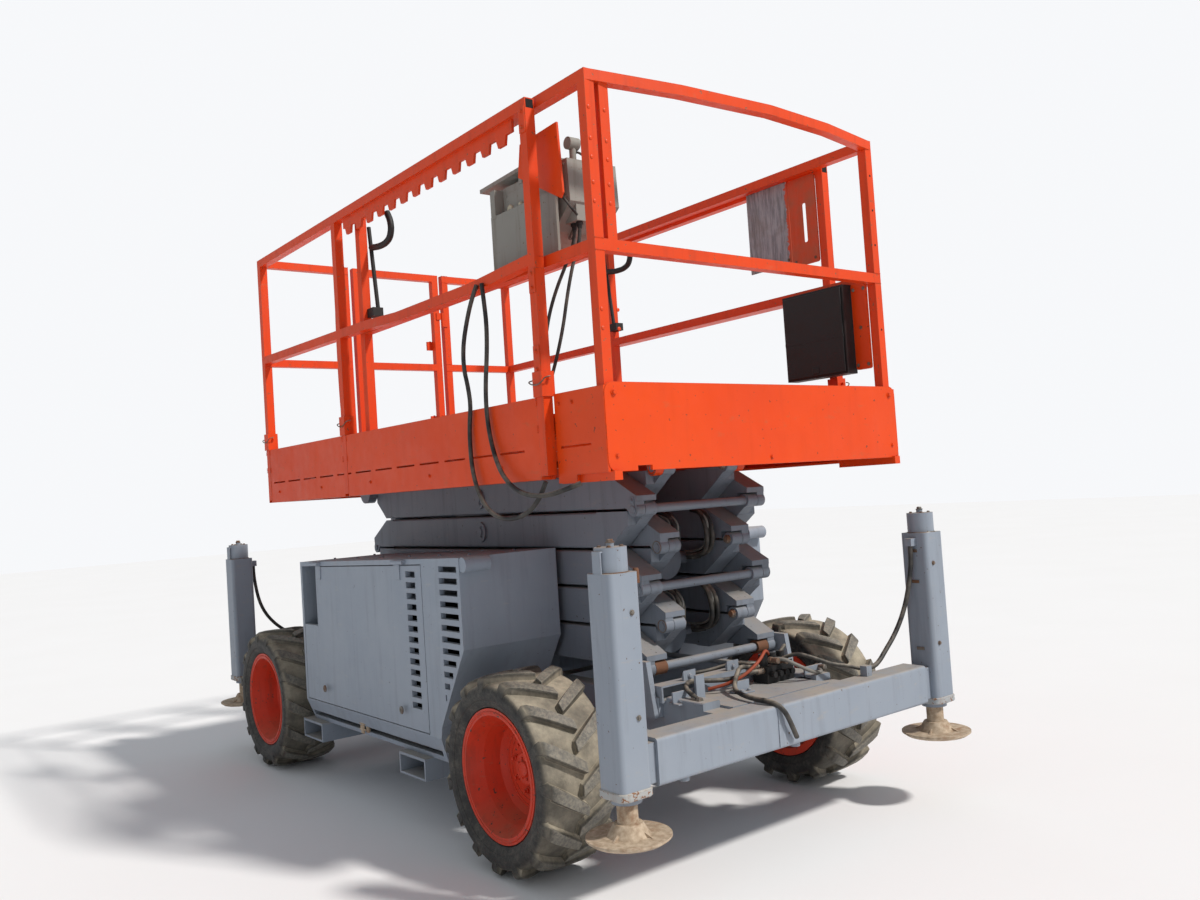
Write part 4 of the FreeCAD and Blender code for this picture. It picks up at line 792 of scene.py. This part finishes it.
panHoses = [
    ("pan_hose_a", 0.0085, "hose", [(1.452, 0.100, 0.600), (1.452, 0.050, 0.606), (1.470, -0.010, 0.622),
                                    (1.505, -0.070, 0.600), (1.540, -0.120, 0.568), (1.600, -0.150, 0.560),
                                    (1.680, -0.165, 0.556), (1.760, -0.160, 0.556), (1.790, -0.140, 0.528),
                                    (1.792, -0.110, 0.470), (1.786, -0.085, 0.428)]),
    ("pan_hose_b", 0.0085, "hose", [(1.480, 0.100, 0.590), (1.484, 0.030, 0.596), (1.460, -0.050, 0.580),
                                    (1.430, -0.130, 0.585), (1.425, -0.210, 0.600), (1.450, -0.270, 0.596),
                                    (1.500, -0.300, 0.580), (1.560, -0.305, 0.560)]),
    ("pan_hose_c", 0.0070, "hoseGrey", [(1.500, 0.120, 0.628), (1.540, 0.130, 0.640), (1.580, 0.170, 0.610),
                                        (1.600, 0.240, 0.572), (1.580, 0.320, 0.560), (1.540, 0.330, 0.575)]),
    ("pan_hose_d", 0.0070, "hose", [(1.500, 0.168, 0.620), (1.550, 0.190, 0.650), (1.610, 0.230, 0.630),
                                    (1.640, 0.300, 0.596), (1.656, 0.380, 0.580), (1.672, 0.415, 0.566)]),
    ("pan_hose_e", 0.0070, "hose", [(1.462, 0.216, 0.640), (1.462, 0.250, 0.668), (1.430, 0.262, 0.640),
                                    (1.400, 0.250, 0.600), (1.360, 0.200, 0.590), (1.320, 0.140, 0.600)]),
    ("pan_hose_f", 0.0060, "hoseOrange", [(1.470, 0.140, 0.644), (1.500, 0.100, 0.676), (1.530, 0.030, 0.640),
                                          (1.520, -0.050, 0.596), (1.480, -0.110, 0.570),
                                          (1.440, -0.150, 0.560)]),
    ("pan_hose_g", 0.0070, "hose", [(1.430, 0.120, 0.600), (1.380, 0.100, 0.610), (1.330, 0.060, 0.604),
                                    (1.300, 0.000, 0.590), (1.290, -0.080, 0.590), (1.320, -0.160, 0.600)]),
]
for name, reach, look, points in panHoses:
    curvePiece(name, points, reach, look, "chassis")


panStyle = {
    "fittings": [(1.452, 0.100, 0.600, (0, -1, 0)), (1.480, 0.100, 0.590, (0, -1, 0)),
                 (1.500, 0.120, 0.628, (1, 0, 0)), (1.500, 0.168, 0.620, (1, 0, 0)),
                 (1.560, -0.305, 0.560, (-1, 0, 0)), (1.540, 0.330, 0.575, (1, 0, 0))],
    "nut": [(0, 0.0125), (0.014, 0.0125), (0.0145, 0.0095), (0.030, 0.0095)], "nutBack": 0.006,
    "crimp": [(0, 0.0108), (0.020, 0.0108), (0.021, 0.009)], "crimpOut": 0.018,
    "angles": [(1.470, -0.300, 0.05), (1.520, -0.060, 0.035), (1.545, 0.300, 0.05)],
    "angleFoot": 0.5425, "angleTop": 0.585, "flangeTop": 0.548, "webHalf": 0.004, "flangeHalf": 0.030,
    "boltOut": 0.018, "bolt": 0.008,
    "lip": [(1.392, 0.5985), (1.402, 0.5985), (1.402, 0.634), (1.392, 0.620)], "lips": (-0.20, 0.02, 0.24),
    "lipHalf": 0.03, "lipBolt": 0.612,
}


def buildPanFittings(style):
    mesh = bmesh.new()
    for x, y, z, way in style["fittings"]:
        start = Vector(at(x, y, z))
        axis = Vector(way)
        addTurned(mesh, start - axis * style["nutBack"], axis, style["nut"], 6)
        addTurned(mesh, start + axis * style["crimpOut"], axis, style["crimp"], 20)
    addPiece("pan_fittings", mesh, "bolt", "chassis", 30, 0.0005)
    mesh = bmesh.new()
    foot = style["angleFoot"]
    for x, y, wide in style["angles"]:
        for half, top in ((style["webHalf"], style["angleTop"]), (style["flangeHalf"], style["flangeTop"])):
            addBox(mesh, at(x - half, y - wide, foot), at(x + half, y + wide, top))
        for way in (0.5, -0.5):
            addBolt(mesh, at(x + style["boltOut"], y + wide * way, style["flangeTop"]), (0, 0, 1),
                    style["bolt"])
    for y in style["lips"]:
        addSlab(mesh, [(x + shift, z) for x, z in style["lip"]], y - style["lipHalf"], y + style["lipHalf"])
        addBolt(mesh, at(style["lip"][1][0], y, style["lipBolt"]), (1, 0, 0), style["bolt"])
    addPiece("pan_brackets", mesh, "chassisGrey", "chassis", 30, 0.0012)


buildPanFittings(panStyle)
print("front pan done")

# Outriggers: collars, cap bolts, weld rings, hose straps and the pads' ribs.

outriggerStyle = {
    "collar": [(0.412, 0.0588, 0.0185), (0.4085, 0.0625, 0.0205), (0.3995, 0.0615, 0.020),
               (0.3910, 0.0625, 0.020), (0.3860, 0.0600, 0.022)],  # height, half width, corner
    "collarWeld": (0.3850, 0.047, 0.0035), "capTop": 1.1385, "capBolt": 0.0105, "boltReach": 0.034,
    "boltHeight": 1.1255, "bolt": 0.006, "capWeld": (1.0492, 0.051, 0.0028),
    "sideBolts": (0.62, 0.93), "sideBolt": 0.0065, "sideIn": 0.02,
    "padFoot": 0.2735, "pad": [(0, 0.050), (0.004, 0.048), (0.007, 0.042), (0.008, 0.034)],
    "ribFoot": 0.2745, "ribSpan": (0.033, 0.085), "ribTall": 0.026, "ribHalf": 0.003, "ribTurn": 0.3,
    "padWeld": (0.2750, 0.0335, 0.003),
}


def roundedSquare(half, corner, steps=5):
    points = []
    for quarter in range(4):
        base = quarter * math.pi / 2
        cx = (half - corner) * (1 if quarter in (0, 3) else -1)
        cy = (half - corner) * (1 if quarter in (0, 1) else -1)
        for i in range(steps + 1):
            angle = base + math.pi / 2 * i / steps
            points.append((cx + corner * math.cos(angle), cy + corner * math.sin(angle)))
    return points


def addRib(mesh, base, angle, style):  # a thin triangle that stands on the pad
    way = Vector((math.cos(angle), math.sin(angle), 0))
    across = Vector((-math.sin(angle), math.cos(angle), 0)) * style["ribHalf"]
    near, far = style["ribSpan"]
    corners = [base + way * near, base + way * far, base + way * near + Vector((0, 0, style["ribTall"]))]
    front = [mesh.verts.new(corner + across) for corner in corners]
    back = [mesh.verts.new(corner - across) for corner in corners]
    mesh.faces.new(front)
    mesh.faces.new(back[::-1])
    joinRings(mesh, back, front)


def buildOutrigger(end, side, style):
    sx, sy = (1 if end == "front" else -1), (1 if side == "left" else -1)
    x, y = sx * postX, sy * postY

    def addWeld(name, sides):
        height, reach, thick = style[name]
        addRing(mesh, (x, y, height), (0, 0, 1), reach, thick, sides)

    mesh = bmesh.new()
    rows = [[mesh.verts.new((x + a, y + b, z)) for a, b in roundedSquare(half, corner)]
            for z, half, corner in style["collar"]]
    for upper, lower in zip(rows, rows[1:]):
        joinRings(mesh, lower, upper)
    mesh.faces.new(rows[0])
    mesh.faces.new(rows[-1][::-1])
    addWeld("collarWeld", 40)
    addPiece("%s_%s_collar" % (end, side), mesh, "wornGrey", "chassis", 40)
    mesh = bmesh.new()
    addBolt(mesh, (x, y, style["capTop"]), (0, 0, 1), style["capBolt"])
    for i in range(4):
        angle = math.pi / 4 + i * math.pi / 2
        addBolt(mesh, (x + style["boltReach"] * math.cos(angle), y + style["boltReach"] * math.sin(angle),
                       style["boltHeight"]), (0, 0, 1), style["bolt"])
    addWeld("capWeld", 48)
    for z in style["sideBolts"]:
        addBolt(mesh, (x + sx * (postHalf + 0.0002), y - sy * style["sideIn"], z), (sx, 0, 0),
                style["sideBolt"])
    addPiece("%s_%s_cap_bolts" % (end, side), mesh, "bolt", "chassis", 30)
    mesh = bmesh.new()
    addTurned(mesh, (x, y, style["padFoot"]), (0, 0, 1), style["pad"], 40)
    for i in range(4):
        addRib(mesh, Vector((x, y, style["ribFoot"])), i * math.pi / 2 + style["ribTurn"], style)
    addWeld("padWeld", 40)
    addPiece("%s_%s_pad_ribs" % (end, side), mesh, "padSteel", "%s_%s_leg" % (end, side), 30)


legHoseStyle = {
    "elbow": (1.729, -0.728, 1.020), "nut": [(0, 0.014), (0.020, 0.014), (0.022, 0.011), (0.040, 0.011)],
    "down": [(0, 0.010), (0.040, 0.010), (0.046, 0.007)], "straps": (0.60, 0.86, 0.98),
    "strapY": 0.7278, "strapHalf": (0.016, 0.006), "strapThick": 0.004,
}


def buildLegHoseFittings(style):
    mesh = bmesh.new()
    x, y, z = at(*style["elbow"])
    addTurned(mesh, (x, y, z), (0, 1, 0), style["nut"], 6)
    addTurned(mesh, (x, y + 0.036, z - 0.012), (0, 0, 1), style["down"], 20)
    addPiece("right_leg_fitting", mesh, "bush", "chassis", 30)
    mesh = bmesh.new()
    wide, tall = style["strapHalf"]
    for z in style["straps"]:
        for way in (1, -1):
            x, y = way * postX, way * style["strapY"]
            low, high = sorted((y, y - way * style["strapThick"]))
            addBox(mesh, (x - wide, low, z - tall), (x + wide, high, z + tall))
    addPiece("hose_straps", mesh, "bolt", "chassis", 30, 0.0006)


for end in ("front", "rear"):
    for side in ("left", "right"):
        buildOutrigger(end, side, outriggerStyle)
buildLegHoseFittings(legHoseStyle)
print("outriggers done")

# Pods: lid screws, round locks on the doors, and a toggle latch on the tucked band below.

podStyle = {
    "screws": (-0.62, -0.36, -0.10, 0.16, 0.42, 0.66), "rows": (0.640, 0.430), "screw": 0.006,
    "locks": (-0.40, 0.36), "lockPlace": (0.8180, 0.470),
    "lock": [(-0.0015, 0.016), (0.0022, 0.016), (0.0036, 0.013), (0.0036, 0.006), (0.0018, 0.0055)],
    "lidBack": 1.045, "lidRise": 0.038,
}


def lidHeight(x, style):  # the pod's top edge rises a little to the front
    return style["lidBack"] + style["lidRise"] * (x - podBack) / (podFront - podBack)


def buildPodFittings(outward, style):
    side = sideName(outward)
    mesh = bmesh.new()
    for x in style["screws"]:
        for y in style["rows"]:
            addBolt(mesh, (x + shift, outward * y, lidHeight(x + shift, style) - 0.0006), (0, 0, 1),
                    style["screw"])
    addPiece(side + "_pod_screws", mesh, "podGrey", "chassis", 30)
    mesh = bmesh.new()
    y, z = style["lockPlace"]
    for x in style["locks"]:
        addTurned(mesh, at(x, outward * y, z), (0, outward, 0), style["lock"], 28)
    addPiece(side + "_pod_locks", mesh, "bolt", side + "_pod_door", 30)


toggleStyle = {"spot": (-0.097, 0.333), "plateY": 0.770, "loopY": 0.780, "plateApart": 0.030,
               "plateHalf": (0.012, 0.024), "loopHalf": (0.03, 0.012), "wire": 0.0035}


def buildToggle(outward, style):  # two plates, a wire loop and a lever
    mesh = bmesh.new()
    x, z = style["spot"]
    x += shift
    wide, tall = style["plateHalf"]
    plate, loop = outward * style["plateY"], outward * style["loopY"]
    for k in (-1, 1):
        middle = x + k * style["plateApart"]
        addBox(mesh, (middle - wide, plate - 0.004, z - tall), (middle + wide, plate + 0.006, z + tall))
    reach, rise = style["loopHalf"]
    for up in (-rise, rise):
        addRod(mesh, (x - reach, loop, z + up), (x + reach, loop, z + up), style["wire"], 10)
    addBox(mesh, (x - 0.012, loop - 0.003, z - 0.03), (x + 0.014, loop + 0.003, z + 0.036))
    addPiece("band_latch_%s" % sideName(outward), mesh, "rusty", "chassis", 30, 0.0012)


for outward in (1, -1):
    buildPodFittings(outward, podStyle)
for outward in (1, -1):
    buildToggle(outward, toggleStyle)
print("pods done")

# Deck: bolt heads, short weld beads by the posts, and sleeve clips on their wires.

deckStyle = {
    "clips": [(-1.08, 1.675), (-0.14, 1.675), (1.396, 1.675)], "clipY": 0.7815, "clipReach": 0.0022,
    "clip": [(-0.048, -0.02, 0), (-0.054, 0, -0.004), (-0.030, 0.004, -0.016), (0, 0.003, -0.022),
             (0.030, 0.002, -0.014), (0.050, 0, 0.002), (0.046, -0.022, 0.004)],
    "panelBolts": [(-0.70, 1.597, 0.0085), (0.70, 1.597, 0.0085), (-0.70, 1.40, 0.006),
                   (0.70, 1.40, 0.006), (0.0, 1.375, 0.006)],
    "cheekBolts": (1.45, 1.52), "cheekY": 0.7392, "cheekHeight": 1.585, "bolt": 0.006,
    "skirtBolts": (-0.95, -0.42, 0.10, 0.62, 1.14), "skirtHeight": 1.395,
    "beadPosts": (-1.08, -0.14, 1.396), "beadOut": 0.022, "beadY": 0.7745, "beads": (1.50, 1.59),
    "beadLong": 0.02,
}


def buildDeckFittings(style):
    mesh = bmesh.new()
    for y, z, size in style["panelBolts"]:
        addBolt(mesh, (extFront + 0.0002, y, z), (1, 0, 0), size)
    for side in (1, -1):
        for x in style["cheekBolts"]:
            addBolt(mesh, at(x, side * style["cheekY"], style["cheekHeight"]), (0, side, 0), style["bolt"])
    addPiece("panel_bolts", mesh, "deckOrange", "rollout_deck", 30)
    mesh = bmesh.new()
    for side in (1, -1):
        for x in style["skirtBolts"]:
            addBolt(mesh, at(x, side * (deckSide + 0.0002), style["skirtHeight"]), (0, side, 0),
                    style["bolt"])
        for x in style["beadPosts"]:
            for z in style["beads"]:
                for out in (-style["beadOut"], style["beadOut"]):
                    y = side * style["beadY"]
                    addBead(mesh, at(x + out, y, z), at(x + out, y, z + style["beadLong"]))
    addPiece("skirt_bolts", mesh, "deckOrange", "deck", 30)


def buildClips(style):
    for x, z in style["clips"]:
        for side in (1, -1):
            name = "clip_%s_%d" % (sideName(side), round(x * 10) + 20)
            route = [(x + a, side * style["clipY"] + side * b, z + c) for a, b, c in style["clip"]]
            clip = curvePiece(name, route, style["clipReach"], "bolt", "deck")


buildDeckFittings(deckStyle)
buildClips(deckStyle)
print("deck fittings done")

# Rails: weld beads where rails meet posts, open tube ends closed by dark squares of painted shade, splice
# plates and rivets.

railStyle = {
    "posts": (-1.08, -0.14, 1.396), "extPosts": (0.005, 1.657), "gateSides": (-0.301, 0.322),
    "bead": 0.0024, "up": 0.86, "along": 0.8, "socket": 0.0150,
    "rivetX": 1.6762, "rivets": (1.80, 1.86, 2.20, 2.26, 2.34, 2.40, 2.50),
    "rivetY": (-extLine - 0.008, -0.650),
    "rivet": [(0, 0.0066), (0.0016, 0.0062), (0.003, 0.004)],
    "holeX": 1.676, "holes": (1.86, 2.20, 2.34, 2.48), "hole": [(-0.001, 0.0045), (0.0004, 0.0045)],
    "spliceX": 1.396, "splices": ((1.735, 0.050), (2.540, 0.044), (2.000, 0.040)), "spliceHalf": 0.017,
    "spliceThick": 0.0038, "spliceBolts": (-0.6, 0.6), "spliceBolt": 0.0062,
}


def listJoints(style):
    joints = []
    for side in (1, -1):
        for x in style["posts"]:
            joints.append((at(x, side * railLine, 2.070 if side > 0 or x < 0 else 2.060), "deck"))
        for x in style["extPosts"]:
            joints.append((at(x, side * extLine, extMid), "rollout_deck"))
    for y in style["gateSides"]:
        for z in (topRail, midRail):
            joints.append((at(style["posts"][0], y, z), "deck"))
    return joints


def buildWelds(body, style):
    mesh = bmesh.new()
    h = railHalf + 0.0004
    for (x, y, z), owner in listJoints(style):
        if owner != body:
            continue
        for face in (1, -1):
            for up in (1, -1):
                high, side, end = z + up * h, y + face * h * style["up"], x + face * h
                addBead(mesh, (x - h, side, high), (x + h, side, high), style["bead"])
                addBead(mesh, (end, y - h * style["along"], high), (end, y + h * style["along"], high),
                        style["bead"])
    addPiece(body + "_welds", mesh, "railOrange", body, 30)


def addSocket(mesh, spot, axis, half):  # a dark square of painted shade in the open end of a square tube, framed by its wall
    turn = place(axis, spot)
    corners = [(-half, -half), (half, -half), (half, half), (-half, half)]
    low = [mesh.verts.new(turn @ Vector((a, b, -0.001))) for a, b in corners]
    high = [mesh.verts.new(turn @ Vector((a, b, 0.0004))) for a, b in corners]
    mesh.faces.new(high)
    joinRings(mesh, low, high)


def buildRailEnds(style):
    deckEnds = bmesh.new()
    rollEnds = bmesh.new()
    back, ahead, up = (-1, 0, 0), (1, 0, 0), (0, 0, 1)
    half = style["socket"]
    for side in (1, -1):
        y = side * railLine
        addSocket(deckEnds, at(-1.099, y, topRail), back, half)
        addSocket(deckEnds, at(1.415, y, topRail), ahead, half)
        addSocket(deckEnds, at(-1.099, y, 2.070 if side > 0 else 2.084), back, half)
        y = side * extLine
        addSocket(rollEnds, at(-0.014, y, extTop), back, half)
        addSocket(rollEnds, at(1.657, y, extTop + railHalf), up, half)
        addSocket(rollEnds, at(0.005, y, extTop + railHalf), up, half)
    addPiece("rail_ends", deckEnds, "paintedShadeInside", "deck", 0)
    addPiece("rollout_rail_ends", rollEnds, "paintedShadeInside", "rollout_deck", 0)


def buildSplices(style):
    rivets = bmesh.new()
    for z in style["rivets"]:
        for y in style["rivetY"]:
            addTurned(rivets, at(style["rivetX"], y, z), (1, 0, 0), style["rivet"], 16)
    addPiece("rollout_post_rivets", rivets, "railOrange", "rollout_deck", 35)
    # holes in the roll-out post: thin near-black discs of painted shade
    holes = bmesh.new()
    for z in style["holes"]:
        addTurned(holes, at(style["holeX"], extLine, z), (1, 0, 0), style["hole"], 16)
    addPiece("rollout_post_holes", holes, "paintedShadeInside", "rollout_deck", 0)
    plates = bmesh.new()
    x, half = style["spliceX"], style["spliceHalf"]
    for side in (1, -1):
        y = side * (railLine + railHalf)
        low, high = sorted((y, y + side * style["spliceThick"]))
        for z, tall in style["splices"]:
            addBox(plates, at(x - half, low, z - tall), at(x + half, high, z + tall))
            for k in style["spliceBolts"]:
                addBolt(plates, at(x, y + side * 0.0036, z + k * tall), (0, side, 0), style["spliceBolt"])
    addPiece("post_splices", plates, "railOrange", "deck", 30, 0.0008)


# The grab handle with its feet, and two small plates with their pins beside the gate.

handleStyle = {
    "line": [(-1.096, -0.318, 2.47), (-1.130, -0.322, 2.45), (-1.142, -0.324, 2.38), (-1.145, -0.325, 2.20),
             (-1.145, -0.325, 1.98), (-1.140, -0.324, 1.82), (-1.128, -0.322, 1.755),
             (-1.096, -0.318, 1.735)],
    "reach": 0.0105, "feet": (2.47, 1.735), "foot": [(0, 0.016), (0.004, 0.016), (0.006, 0.0115)],
    "plates": (1.765, 2.20),
}


def buildHandle(style):
    handle = curvePiece("grab_handle", style["line"], style["reach"], "railOrange", "deck")
    mesh = bmesh.new()
    for z in style["feet"]:
        addTurned(mesh, at(-1.099, -0.312, z), (-1, 0, 0), style["foot"], 24)
    for z in style["plates"]:
        addBox(mesh, at(-1.112, 0.205, z - 0.025), at(-1.0992, 0.262, z + 0.025))
        addRod(mesh, at(-1.118, 0.234, z - 0.012), at(-1.118, 0.234, z + 0.03), 0.006, 14)
    addPiece("handle_feet", mesh, "railOrange", "deck", 30, 0.001)


buildWelds("deck", railStyle)
buildWelds("rollout_deck", railStyle)
buildRailEnds(railStyle)
buildSplices(railStyle)
buildHandle(handleStyle)
print("rail fittings done")

# Control box: cover screws, switches, joystick boot, stop button, glands, lamps and wires.

boxStyle = {
    "near": -0.650,
    "screws": [(1.035, 2.395), (1.035, 2.262), (1.205, 2.190), (1.365, 2.205), (1.445, 2.285),
               (1.445, 2.395), (1.240, 2.398)],
    "covers": [((1.090, 2.270), (1.230, 2.385), 0.004), ((1.262, 2.285), (1.400, 2.380), 0.003)],
    "coverScrews": [(1.098, 2.278), (1.222, 2.278), (1.098, 2.377), (1.222, 2.377)],
    "switches": [(1.12, -0.60), (1.16, -0.60), (1.12, -0.54), (1.16, -0.54), (1.12, -0.48)],
    "switch": [(-0.004, 0.010), (0.004, 0.010), (0.006, 0.006), (0.010, 0.004), (0.030, 0.0055),
               (0.033, 0.003)],
    "boot": [(0, 0.036), (0.006, 0.037), (0.010, 0.030), (0.016, 0.033), (0.021, 0.026),
             (0.027, 0.029), (0.032, 0.021), (0.038, 0.022), (0.046, 0.0175)],
    "gland": [(-0.001, 0.012), (0.010, 0.012), (0.012, 0.009), (0.024, 0.0075)],
    "stop": [(-0.004, 0.014), (0.010, 0.014), (0.011, 0.022), (0.018, 0.0215), (0.023, 0.016)],
    "largeLamp": [(0, 0.016), (0.007, 0.016), (0.010, 0.012)],
    "smallLamp": [(0, 0.009), (0.006, 0.009), (0.010, 0.006)],
    "wires": [[(1.300, -0.470, 2.235), (1.310, -0.520, 2.190), (1.340, -0.570, 2.172),
               (1.380, -0.590, 2.176), (1.410, -0.590, 2.206)],
              [(1.420, -0.660, 2.300), (1.452, -0.668, 2.280), (1.470, -0.650, 2.240),
               (1.462, -0.620, 2.222)],
              [(1.210, -0.470, 2.466), (1.260, -0.480, 2.500), (1.330, -0.500, 2.498),
               (1.400, -0.520, 2.450), (1.440, -0.540, 2.412)]],
    "wireReach": 0.0042,
}


def buildControls(style):
    up, down, outward = (0, 0, 1), (0, 0, -1), (0, -1, 0)
    near = style["near"]
    mesh = bmesh.new()
    for x, z in style["screws"]:
        addBolt(mesh, at(x, near - 0.0002, z), outward, 0.005)
    for low, high, thick in style["covers"]:
        addBox(mesh, at(low[0], near - thick, low[1]), at(high[0], near - 0.0002, high[1]))
    for x, z in style["coverScrews"]:
        addBolt(mesh, at(x, near - 0.004, z), outward, 0.0035)
    addPiece("box_covers", mesh, "boxGrey", "rollout_deck", 30, 0.001)
    mesh = bmesh.new()
    for x, y in style["switches"]:
        addTurned(mesh, at(x, y, 2.4525), up, style["switch"], 16)
    addTurned(mesh, at(1.250, -0.560, 2.4500), up, style["boot"], 28)
    for x in (1.416, 1.446):
        addTurned(mesh, at(x, -0.600, 2.205), down, style["gland"], 6)
    addPiece("box_switches", mesh, "blackPlastic", "rollout_deck", 35)
    mesh = bmesh.new()
    addTurned(mesh, at(1.200, -0.500, 2.452), up, style["stop"], 28)
    addPiece("stop_button", mesh, "stopRed", "rollout_deck", 35)
    mesh = bmesh.new()
    addTurned(mesh, at(1.120, -0.6515, 2.325), outward, style["largeLamp"], 24)
    addTurned(mesh, at(1.190, -0.6545, 2.325), outward, style["smallLamp"], 18)
    addPiece("box_lamps", mesh, "lens", "rollout_deck", 35)
    for number, points in enumerate(style["wires"]):
        wire = curvePiece("box_wire_%d" % number, points, style["wireReach"], "hose", "rollout_deck")


# The manual box's lid and latch, and the screws of its plate and of the hung plates.

manualStyle = {
    "lid": ((1.252, 0.6190, 1.708), (1.552, 0.6262, 2.050)),
    "latch": ((1.384, 0.6165, 1.716), (1.420, 0.6200, 1.742)),
    "plateY": 0.6758, "plateScrews": [(1.575, 1.73), (1.625, 1.73), (1.575, 2.035), (1.625, 2.035),
                                      (1.600, 1.88)],
    "hungY": 0.7282, "hungScrews": [(1.000, 2.245), (1.210, 2.245), (1.000, 2.590), (1.210, 2.590),
                                    (1.250, 2.225), (1.357, 2.225)],
}


def buildManualBox(style):
    mesh = bmesh.new()
    for part in ("lid", "latch"):
        low, high = style[part]
        addBox(mesh, at(*low), at(*high))
    addPiece("manual_box_lid", mesh, "blackPlastic", "rollout_deck", 30, 0.006)
    mesh = bmesh.new()
    for x, z in style["plateScrews"]:
        addBolt(mesh, at(x, style["plateY"], z), (0, -1, 0), 0.0055)
    addPiece("plate_screws", mesh, "bolt", "rollout_deck", 30)
    mesh = bmesh.new()
    for x, z in style["hungScrews"]:
        addBolt(mesh, at(x, style["hungY"], z), (0, -1, 0), 0.005)
    addPiece("panel_screws", mesh, "bolt", "deck", 30)


buildControls(boxStyle)
buildManualBox(manualStyle)
print("controls done")

# Floor, pale surroundings and the sun.

stageStyle = {
    "floor": tone(236, 236, 238), "patches": tone(214, 213, 210), "patch": (0.9, 5, 0.55, 0.3, 0.7),
    "patchRange": (0, 0.08), "grit": (160, 3, 0.55, 0.3, 0.7), "gritDepth": 0.0006, "gritShare": 0.2,
    "rough": 0.9, "sky": (0.93, 0.94, 0.96, 1), "size": 60, "light": 0.46, "tint": (0.90, 0.95, 1.0, 1),
    "sun": 3.1, "sunAngle": 5, "sunWay": (0.62, 0.30, 0.74), "sunSpot": (4, 4, 6),
    "sunColour": (1.0, 0.96, 0.90),
}


def buildFloor(style):
    mesh = bmesh.new()
    half = style["size"] / 2
    corners = ((-half, -half), (half, -half), (half, half), (-half, half))
    mesh.faces.new([mesh.verts.new((x, y, 0)) for x, y in corners])
    data = bpy.data.meshes.new("floor")
    mesh.to_mesh(data)
    mesh.free()
    floor = bpy.data.objects.new("floor", data)
    scene.collection.objects.link(floor)
    shader = Shader("floor")
    patches = shader.noise(style["patch"], out=style["patchRange"])
    tint = shader.mix(patches, style["floor"], style["patches"])
    shader.bump((shader.noise(style["grit"]), style["gritDepth"], style["gritShare"]))
    data.materials.append(shader.feed(Base_Color=tint, Roughness=style["rough"]))


def buildLight(style):  # the camera sees a pale sky; the object is lit by a plainer one and a sun
    world = bpy.data.worlds.new("world")
    world.use_nodes = True
    scene.world = world
    tree = world.node_tree
    shown = tree.nodes.new("ShaderNodeLightPath")
    lit = tree.nodes["Background"]
    lit.inputs["Color"].default_value = style["tint"]
    lit.inputs["Strength"].default_value = style["light"]
    pale = tree.nodes.new("ShaderNodeBackground")
    pale.inputs["Color"].default_value = style["sky"]
    pale.inputs["Strength"].default_value = 1.0
    blend = tree.nodes.new("ShaderNodeMixShader")
    tree.links.new(shown.outputs["Is Camera Ray"], blend.inputs[0])
    tree.links.new(lit.outputs[0], blend.inputs[1])
    tree.links.new(pale.outputs[0], blend.inputs[2])
    tree.links.new(blend.outputs[0], tree.nodes["World Output"].inputs["Surface"])
    lamp = bpy.data.lights.new("sun", "SUN")
    lamp.energy = style["sun"]
    lamp.angle = math.radians(style["sunAngle"])
    lamp.color = style["sunColour"]
    sun = bpy.data.objects.new("sun", lamp)
    scene.collection.objects.link(sun)
    sun.matrix_world = place(style["sunWay"], style["sunSpot"])


buildFloor(stageStyle)
buildLight(stageStyle)
print("stage done")
